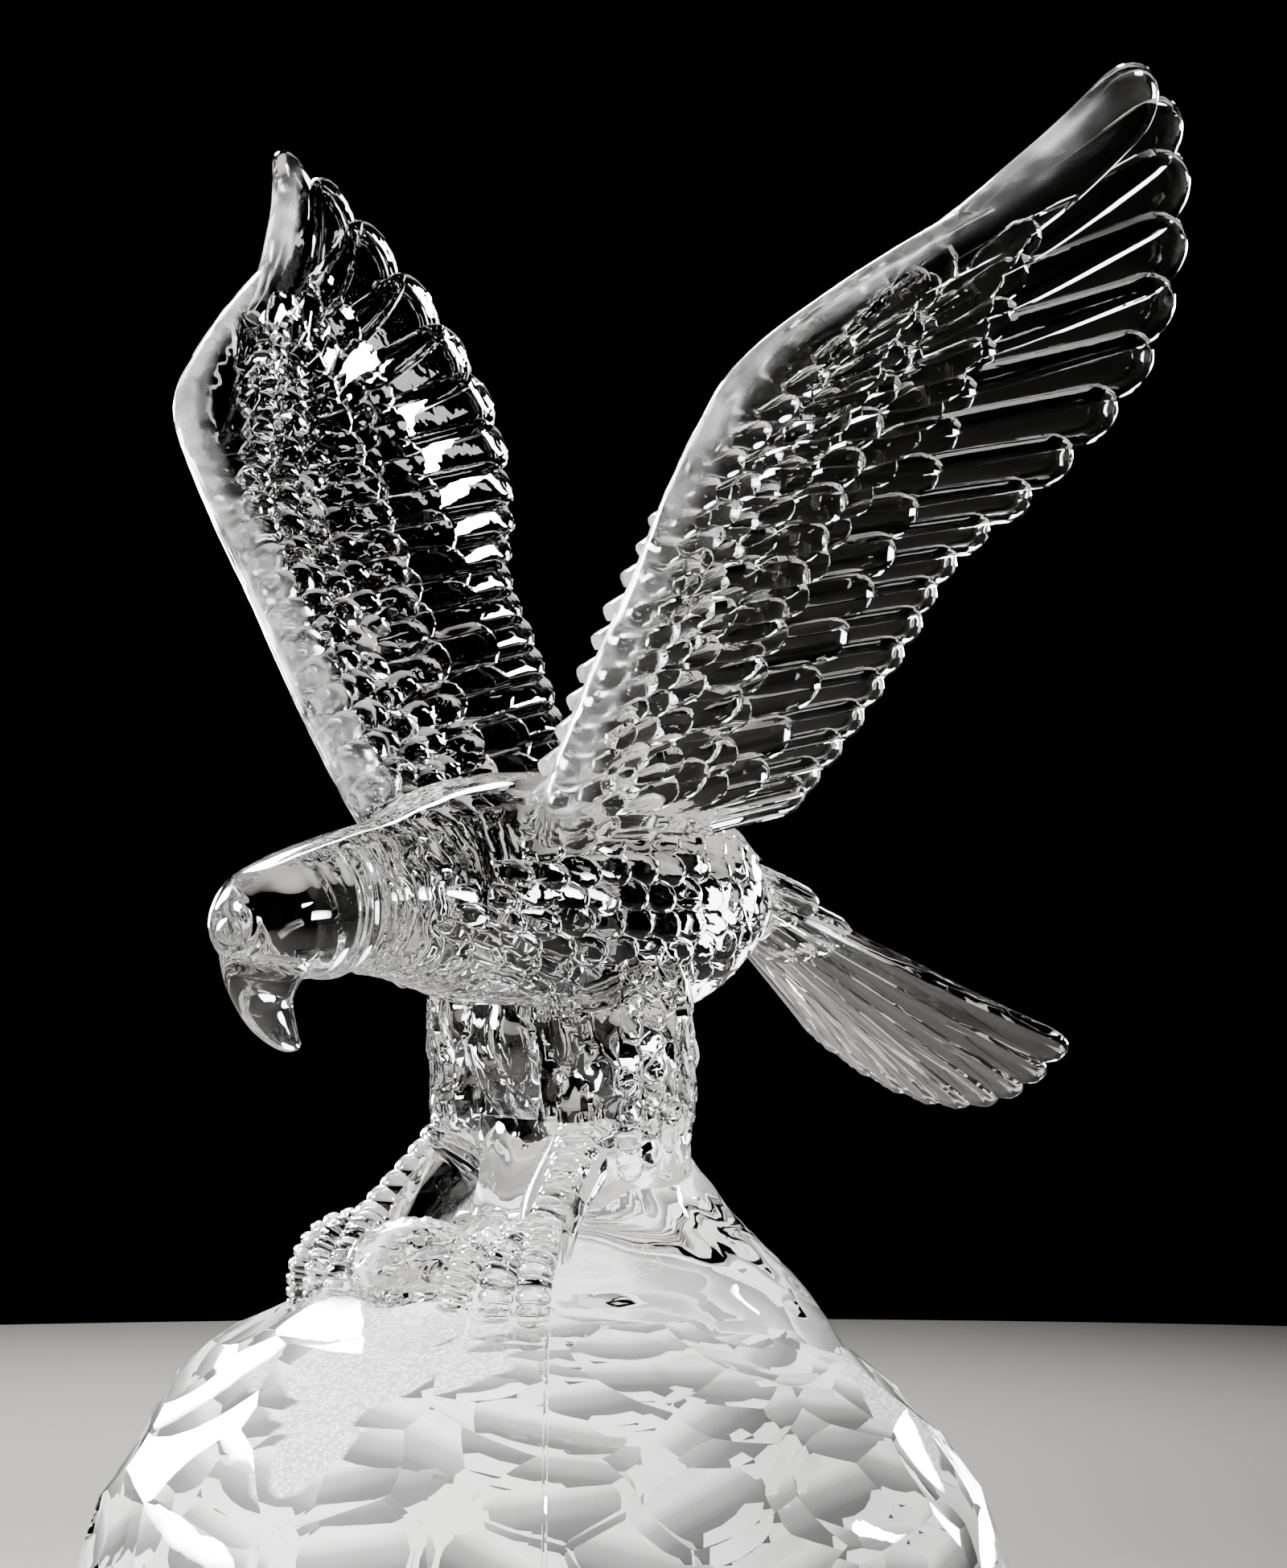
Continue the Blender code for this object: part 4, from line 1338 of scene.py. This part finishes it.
def thin_out(thing, most):
    """Fewer triangles where the skin is nearly flat, down to the most that it may have."""
    triangles = sum(len(face.vertices) - 2 for face in thing.data.polygons)
    if triangles > most:
        fewer = thing.modifiers.new("fewer", "DECIMATE")
        fewer.ratio = most / triangles
        apply_modifiers(thing)
        rework(thing, close_pinches)


thin_out(casting, MOST_TRIANGLES)
report(casting)

# %% [markdown]
# The real feathers have round, polished backs, and the rock has crisp ridges that are flatter than the
# edges between feathers. One angle for the whole skin would blur the ridges or break up the feathers. So a
# wide angle is used for all of it, and a narrow one below the rock's top.

# %% Shade
SHARP_ANGLE = math.radians(32)
RIDGE_ANGLE = math.radians(9)
# Height on the drawing below which the ridges are kept
RIDGES_BELOW = -3.0


def sharpen_ridges(shape):
    """Keep the ridges of the rock crisp."""
    level = on_bird((0, 0, RIDGES_BELOW)).z
    for edge in shape.edges:
        low = max(vertex.co.z for vertex in edge.verts) < level
        if low and edge.is_manifold and edge.calc_face_angle() > RIDGE_ANGLE:
            edge.smooth = False


even = casting.modifiers.new("even_normals", "WEIGHTED_NORMAL")
even.keep_sharp = True
casting.data.shade_smooth()
casting.data.set_sharp_from_angle(angle=SHARP_ANGLE)
rework(casting, sharpen_ridges)
print("crisp edges:", sum(edge.use_edge_sharp for edge in casting.data.edges))
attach(casting, "root")
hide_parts("glass_eagle")

# %% [markdown]
# Along its leading edge each real wing is cloudy, and a broad, uneven band there catches the light. The
# band could be a second material, but it fades out at its edge. So each point of the mesh keeps how cloudy
# the glass is there, from 0 to 1, worked out from its place on the wing, and the finish reads its roughness
# from that.

# %% Cloudy leading edges
# Leading edge of the first flight, up the arm and back, past the arm's own leading edge
FINGER_EDGE = ((106.0, 34.0), (115.3, 44.1), (126.3, 52.3), (134.6, 61.0))
CLOUDY_EDGE = [row[0] for row in ARM[:-1]] + list(FINGER_EDGE)
# Where the cloudy band fades out behind the leading edge, and off the wing's face
CLOUDY_REACH = (3.6, 7.0)
CLOUDY_DEPTH = (7.0, 9.0)
# Where the cloudy band fades in at the shoulder and out near the first flight's tip, up the arm
CLOUDY_STOPS = (-8.0, 4.0, 116.0, 138.0)
# How cloudy the band is in the middle, how much its spots differ from that, and their size in millimetres
CLOUDY_MIDDLE = 0.9
CLOUDY_SPOTS = 0.9
CLOUDY_SPOT_SIZE = 3.0


def edge_back(up):
    """How far back the leading edge lies at a place up the arm."""
    for (low, start), (high, end) in zip(CLOUDY_EDGE, CLOUDY_EDGE[1:]):
        if up <= high:
            return start + (end - start) * (up - low) / (high - low)
    return CLOUDY_EDGE[-1][1]


def cloudiness(place):
    """How cloudy the glass is, from 0 to 1, at a place in metres."""
    spot = Vector((abs(place.x), place.y - axis_y, place.z)) / MM
    away = spot + Vector((0.0, ROCK_AXIS_Y, -ROCK_HEIGHT)) - SHOULDER
    up = away.dot(UP_ARM)
    share = between(CLOUDY_STOPS, up) * (1 - rise(*CLOUDY_DEPTH, abs(away.dot(OUT))))
    if share:
        share *= 1 - rise(*CLOUDY_REACH, away.dot(BACK) - edge_back(up))
        share *= max(0.0, min(1.0, CLOUDY_MIDDLE + CLOUDY_SPOTS * noise(spot / CLOUDY_SPOT_SIZE)))
    return share


def cloud_edges(thing):
    clouds = thing.data.color_attributes.new("cloudiness", "FLOAT_COLOR", "POINT")
    cloudy = 0
    for vertex, mark in zip(thing.data.vertices, clouds.data):
        share = cloudiness(vertex.co)
        mark.color = (share, share, share, 1.0)
        cloudy += share > 0
    print("cloudy points:", cloudy)


cloud_edges(casting)

# %% [markdown]
# The real filling touches the glass nearly all over, which is why the rock shines white almost to its edge.
# The solid of the white core could just be given a white finish, but it stands 0.3 mm off the glass, and
# behind even a thin gap of air the glass mirrors instead of showing white. So a fine core replaces it, a
# hair larger than the hollow, with the same scoops.

# %% White core
# How much larger than the hollow it is, and how high its floor lies, in millimetres
CORE_SINK = 0.02
CORE_FLOOR = 0.5
core = core_dome("white_filling", CORE_SINK, CORE_FLOOR, bpy.data.collections["glass_eagle_figurine"])
core_scoops = scoop(core, CORE_SCOOP_SIZE, CORE_SCOOP_FINENESS)
core.data.shade_smooth()
core.data.set_sharp_from_angle(angle=RIDGE_ANGLE)
report(core)
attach(core, "root")
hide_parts("white_core")

# %% [markdown]
# Seen through the glass, every facet of the filling is white at its top and grey at its lower edge, and the
# next one starts white again behind a crisp ridge. Lamps alone would shade the whole rock from one side, so
# this shade is painted. Each corner of a face keeps its height within its own scoop, from 0 to 1, and the
# finish turns that into painted shade, dark at the scoop's lower edge and white at its top.

# %% Height within a scoop, for the painted shade
# Most distance from a scoop's bowl, in millimetres, of a face that belongs to it
ON_BOWL = 0.06
# Height that is given to the faces outside any scoop
PLAIN_PAINTED_SHADE = 0.8
# Half the height, in millimetres, over which the painted shade runs from dark to white
PAINTED_SHADE_REACH = 7.0


def nearest_scoop(spot, places):
    """Bottom of the scoop that a place lies on and its direction across, or nothing if it lies on none."""
    nearest = ON_BOWL
    owner = None
    for bottom, normal, along, radii in places:
        across = normal.cross(along)
        away = (spot - bottom) / MM
        off = away.dot(normal)
        off -= away.dot(along) ** 2 / (2 * radii[0]) + away.dot(across) ** 2 / (2 * radii[1])
        if abs(off) < nearest:
            nearest = abs(off)
            owner = (bottom, across)
    return owner


# Paints shade into the filling's colour: each corner keeps its height within its scoop, low for dark, high
# for white
def paint_scoop_shade(thing, places):
    shade_levels = thing.data.color_attributes.new("scoop_height_for_painted_shade", "FLOAT_COLOR", "CORNER")
    plain = 0
    for face in thing.data.polygons:
        owner = nearest_scoop(face.center, places)
        plain += owner is None
        for k in face.loop_indices:
            shade_level = PLAIN_PAINTED_SHADE
            if owner:
                bottom, across = owner
                away = (thing.data.vertices[thing.data.loops[k].vertex_index].co - bottom) / MM
                shade_level = 0.5 * (1 + away.dot(across) / PAINTED_SHADE_REACH)
            shade_levels.data[k].color = (shade_level, shade_level, shade_level, 1.0)
    print("faces of the filling outside any scoop:", plain)


paint_scoop_shade(core, core_scoops)

# %% [markdown]
# The real glass is clear, colourless and fire-polished. A Glass shader would give that too, but the
# Principled one with full transmission is what other programs can read. Its plain values stay on the
# shader. Moulded glass is never quite even, so a little bump from noise bends the light, as the real
# surface does.

# %% Glass
GLASS_IOR = 1.52
CLOUDY_ROUGHNESS = 0.3
# Waves to a metre, height in metres and strength of the bump
GLASS_BUMP = (220.0, 0.0002, 0.12)
BUMP_DETAIL = 2.0


def new_material(name):
    material = bpy.data.materials.new(name)
    material.use_nodes = True
    tree = material.node_tree
    return material, tree, tree.nodes["Principled BSDF"]


def noise_in(tree, per_metre, detail):
    """Noise in the object's own metres."""
    place = tree.nodes.new("ShaderNodeTexCoord")
    cloud = tree.nodes.new("ShaderNodeTexNoise")
    cloud.inputs["Scale"].default_value = per_metre
    cloud.inputs["Detail"].default_value = detail
    tree.links.new(place.outputs["Object"], cloud.inputs["Vector"])
    return cloud.outputs["Fac"]


def bump_from_noise(tree, shader, per_metre, distance, strength):
    bump = tree.nodes.new("ShaderNodeBump")
    bump.inputs["Strength"].default_value = strength
    bump.inputs["Distance"].default_value = distance
    tree.links.new(noise_in(tree, per_metre, BUMP_DETAIL), bump.inputs["Height"])
    tree.links.new(bump.outputs["Normal"], shader.inputs["Normal"])


def dress(thing, material):
    thing.data.materials.clear()
    thing.data.materials.append(material)


glass, tree, shader = new_material("clear_glass")
shader.inputs["Base Color"].default_value = (1.0, 1.0, 1.0, 1.0)
shader.inputs["Transmission Weight"].default_value = 1.0
shader.inputs["IOR"].default_value = GLASS_IOR
clouded = tree.nodes.new("ShaderNodeVertexColor")
clouded.layer_name = "cloudiness"
roughness = tree.nodes.new("ShaderNodeMath")
roughness.operation = "MULTIPLY"
roughness.inputs[1].default_value = CLOUDY_ROUGHNESS
tree.links.new(clouded.outputs["Color"], roughness.inputs[0])
tree.links.new(roughness.outputs["Value"], shader.inputs["Roughness"])
bump_from_noise(tree, shader, *GLASS_BUMP)
dress(casting, glass)
print("glass of IOR", GLASS_IOR, "with a roughness up to", CLOUDY_ROUGHNESS, "where it is cloudy")

# %% [markdown]
# The real filling is a matt white that set unevenly, so soft grey clouds show through the facets. A painted
# picture could hold them, but it would need an unwrapped skin. Noise in the object's own metres needs none,
# and a ramp turns its values into two whites.

# %% Clouds in the filling
CLOUDS_PER_METRE = 55.0
CLOUD_DETAIL = 3.0
CLOUD_STOPS = ((0.35, (0.80, 0.80, 0.79, 1)), (0.6, (1.0, 1.0, 1.0, 1)))
WHITE_ROUGHNESS = 0.6
# Waves to a metre, height in metres and strength of the bump
WHITE_BUMP = (400.0, 0.0002, 0.4)


def ramp(tree, source, stops):
    """Colours at stops along a value from 0 to 1."""
    blend = tree.nodes.new("ShaderNodeValToRGB")
    elements = blend.color_ramp.elements
    elements[0].position, elements[0].color = stops[0]
    elements[1].position, elements[1].color = stops[-1]
    for position, colour in stops[1:-1]:
        elements.new(position).color = colour
    tree.links.new(source, blend.inputs["Fac"])
    return blend.outputs["Color"]


white, tree, shader = new_material("white_filling")
shader.inputs["Roughness"].default_value = WHITE_ROUGHNESS
bump_from_noise(tree, shader, *WHITE_BUMP)
dress(core, white)
wander = noise_in(tree, CLOUDS_PER_METRE, CLOUD_DETAIL)
clouds = ramp(tree, wander, CLOUD_STOPS)
print("clouds of", round(1 / CLOUDS_PER_METRE / MM), "mm")

# %% [markdown]
# Each facet of the real filling looks white at its top and grey at its lower edge, so the height within a
# scoop sets a painted shade in the colour. Two shaders mixed by it would look the same, but one colour that
# reaches the shader can be baked into a picture for other programs. So the painted shade is multiplied with
# the clouds.

# %% Painted shade of the filling
# Painted shade from the lower edge of a scoop, near black, to its top, near white
PAINTED_SHADE_TONES = ((0.0, (0.01, 0.01, 0.0098, 1)), (0.3, (0.05, 0.05, 0.049, 1)), (0.6, (0.25, 0.25, 0.245, 1)),
         (0.85, (0.95, 0.95, 0.94, 1)))

height = tree.nodes.new("ShaderNodeVertexColor")
height.layer_name = "scoop_height_for_painted_shade"
clouds_and_painted_shade = tree.nodes.new("ShaderNodeMix")
clouds_and_painted_shade.data_type = "RGBA"
clouds_and_painted_shade.blend_type = "MULTIPLY"
clouds_and_painted_shade.inputs["Factor"].default_value = 1.0
tree.links.new(clouds, clouds_and_painted_shade.inputs["A"])
tree.links.new(ramp(tree, height.outputs["Color"], PAINTED_SHADE_TONES), clouds_and_painted_shade.inputs["B"])
print("tone at the top of a scoop:", PAINTED_SHADE_TONES[-1][1][0])

# %% [markdown]
# In patches the real filling has come away from the glass in fine bubbles. Real bubbles could be modelled,
# but there would be thousands. Cells of a Voronoi texture look like them, and they replace the clouds and
# the painted shade inside a few balls whose edges wander with the clouds.

# %% Loose patches of the filling
BUBBLES_PER_METRE = 1100.0
BUBBLE_STOPS = ((0.25, (0.95, 0.95, 0.95, 1)), (0.65, (0.42, 0.42, 0.41, 1)))
# Middle on the drawing and radius of each patch, in millimetres
PATCHES = (((-2.1, -39.4, -21.0), 17.0), ((0.2, -58.3, -28.3), 11.0), ((38.0, 30.0, -26.0), 14.0))
# How soft the edge of a patch is, and how far it wanders, in millimetres
PATCH_EDGE = 1.2
PATCH_WANDER = 16.0


def value_of(tree, kind, operation, inputs):
    """Value from a math node of some kind, fed by sockets or plain values."""
    step = tree.nodes.new(kind)
    step.operation = operation
    for socket, value in zip(step.inputs, inputs):
        if isinstance(value, bpy.types.NodeSocket):
            tree.links.new(value, socket)
        else:
            socket.default_value = value
    return step.outputs["Value"]


def loose_patches(tree, place, wander):
    """1 in the patches, 0 outside them, with a wandering edge."""
    total = 0.0
    for middle, radius in PATCHES:
        away = value_of(tree, "ShaderNodeVectorMath", "DISTANCE", (place, on_bird(middle)))
        strayed = value_of(tree, "ShaderNodeMath", "MULTIPLY_ADD", (wander, PATCH_WANDER * MM, away))
        reach = (radius + 0.5 * PATCH_WANDER) * MM
        edge = value_of(tree, "ShaderNodeMath", "SUBTRACT", (reach, strayed))
        inside = value_of(tree, "ShaderNodeMath", "DIVIDE", (edge, PATCH_EDGE * MM))
        inside.node.use_clamp = True
        total = value_of(tree, "ShaderNodeMath", "MAXIMUM", (inside, total))
    return total


place = tree.nodes.new("ShaderNodeTexCoord").outputs["Object"]
cells = tree.nodes.new("ShaderNodeTexVoronoi")
cells.inputs["Scale"].default_value = BUBBLES_PER_METRE
tree.links.new(place, cells.inputs["Vector"])
colour = tree.nodes.new("ShaderNodeMix")
colour.data_type = "RGBA"
tree.links.new(loose_patches(tree, place, wander), colour.inputs["Factor"])
tree.links.new(clouds_and_painted_shade.outputs["Result"], colour.inputs["A"])
tree.links.new(ramp(tree, cells.outputs["Distance"], BUBBLE_STOPS), colour.inputs["B"])
tree.links.new(colour.outputs["Result"], shader.inputs["Base Color"])
print("bubbles of", round(1 / BUBBLES_PER_METRE / MM, 1), "mm in", len(PATCHES), "patches")

# %% [markdown]
# The ornament stands on a plain pale table in a dark studio. Dark surroundings are what make clear glass
# read: it shows only the lights and the table, bent into bright lines. A pale backdrop all round was the
# other way, and it washes the glass out. The table is a round top that ends behind the bird.

# %% Table and surroundings
TABLE_RADIUS = 0.64
TABLE_THICKNESS = 0.02
TABLE_SIDES = 128
TABLE_COLOUR = (0.5, 0.48, 0.45, 1.0)
TABLE_ROUGHNESS = 0.6
BLACK = (0.0, 0.0, 0.0, 1.0)

bpy.ops.mesh.primitive_cylinder_add(vertices=TABLE_SIDES, radius=TABLE_RADIUS, depth=TABLE_THICKNESS,
                                    location=(0, 0, -TABLE_THICKNESS / 2))
table = bpy.context.object
table.name = "table"
studio = gather("studio")
studio.objects.link(table)
table.data.shade_smooth()
table.data.set_sharp_from_angle(angle=SHARP_ANGLE)
pale, tree, shader = new_material("pale_table")
shader.inputs["Base Color"].default_value = TABLE_COLOUR
shader.inputs["Roughness"].default_value = TABLE_ROUGHNESS
dress(table, pale)

world = bpy.data.worlds.new("dark_studio")
bpy.context.scene.world = world
world.use_nodes = True
world.node_tree.nodes["Background"].inputs["Color"].default_value = BLACK
world.node_tree.nodes["Background"].inputs["Strength"].default_value = 1.0
print("table:", 2 * TABLE_RADIUS, "m across")

# %% [markdown]
# Each lamp lights either the figurine or the table, as a photographer would flag a lamp off one of them.
# Lamps for both would be fewer, but their pools on the table would be mirrored in the wings. Two small keys
# whiten the rock. The softboxes stand low at the sides and behind, or high, and their light reaches the
# camera through the rims of the feathers, so the hollows stay dark. Two broad lamps light the table alone.

# %% Soft lights
# Name, place and size in metres, power in watts, spread of the beam in degrees, what it is aimed at and what
# it lights
LIGHTS = (
    ("left_key", (-0.45, -0.55, 0.42), (0.13, 0.13), 10.0, 22, (-0.02, -0.05, 0.03), "figurine"),
    ("right_key", (0.62, 0.02, 0.40), (0.10, 0.10), 1.0, 20, (0.04, -0.02, 0.03), "figurine"),
    ("left_top_softbox", (-0.58, 0.32, 0.68), (0.40, 0.40), 5.0, 24, (0.0, -0.02, 0.17), "figurine"),
    ("right_top_softbox", (0.10, 0.80, 0.64), (0.05, 0.20), 0.5, 24, (-0.03, 0.0, 0.18), "figurine"),
    ("left_middle_softbox", (-0.78, -0.06, 0.48), (0.34, 0.34), 2.6, 24, (0.0, 0.0, 0.19), "figurine"),
    ("left_softbox", (-0.71, -0.42, 0.20), (0.42, 0.20), 3.0, 22, (0.0, 0.0, 0.19), "figurine"),
    ("left_back_softbox", (-0.80, 0.30, 0.20), (0.25, 0.20), 2.8, 22, (0.0, 0.0, 0.19), "figurine"),
    ("back_softbox", (-0.16, 0.85, 0.20), (0.36, 0.20), 3.0, 22, (0.0, 0.0, 0.19), "figurine"),
    ("right_softbox", (0.80, 0.20, 0.20), (0.20, 0.20), 0.6, 22, (0.0, 0.0, 0.19), "figurine"),
    ("front_table_light", (0.05, -0.30, 0.75), (0.45, 0.45), 2.6, 50, (0.06, -0.26, 0.0), "table"),
    ("rear_table_light", (-0.50, 0.20, 0.70), (0.45, 0.45), 1.5, 50, (-0.28, 0.16, 0.0), "table"),
)
LIT = {"figurine": bpy.data.collections["glass_eagle_figurine"], "table": studio}


def soft_light(name, spot, size, power, spread, aim, lit):
    light = bpy.data.lights.new(name, "AREA")
    light.shape = "RECTANGLE"
    light.size, light.size_y = size
    light.energy = power
    light.spread = math.radians(spread)
    lamp = bpy.data.objects.new(name, light)
    lamp.location = spot
    lamp.rotation_euler = (Vector(aim) - Vector(spot)).to_track_quat("-Z", "Y").to_euler()
    lamp.visible_camera = False
    bpy.context.scene.collection.objects.link(lamp)
    lamp.light_linking.receiver_collection = LIT[lit]


for row in LIGHTS:
    soft_light(*row)
print("lights:", len(LIGHTS))

# %% [markdown]
# The camera looks level, from the bird's front left, through a long lens, so that the rock's foot falls
# below the picture's edge. It could be aimed with a Track To constraint, but a level camera is simpler to
# state: its right, up and ahead are the columns of its matrix.

# %% Camera
# Place of the lens about the bird's drawing, but with z = 0 on the table, in millimetres
EYE = (758.9, -746.7, 139.7)
RIGHT = Vector((1, 1, 0)).normalized()
AHEAD = Vector((-1, 1, 0)).normalized()
UP = Vector((0, 0, 1))
# Focal length and height of the sensor, in millimetres
LENS = 149.87
SENSOR = 36.0

lens = bpy.data.cameras.new("camera")
lens.sensor_fit = "VERTICAL"
lens.sensor_height = SENSOR
lens.sensor_width = SENSOR
lens.lens = LENS
camera = bpy.data.objects.new("camera", lens)
eye = on_bird((EYE[0], EYE[1], EYE[2] - ROCK_HEIGHT))
camera.matrix_world = Matrix((
    (RIGHT.x, UP.x, -AHEAD.x, eye.x),
    (RIGHT.y, UP.y, -AHEAD.y, eye.y),
    (RIGHT.z, UP.z, -AHEAD.z, eye.z),
    (0, 0, 0, 1),
))
bpy.context.scene.collection.objects.link(camera)
bpy.context.scene.camera = camera
print("camera at", [round(value, 4) for value in eye])
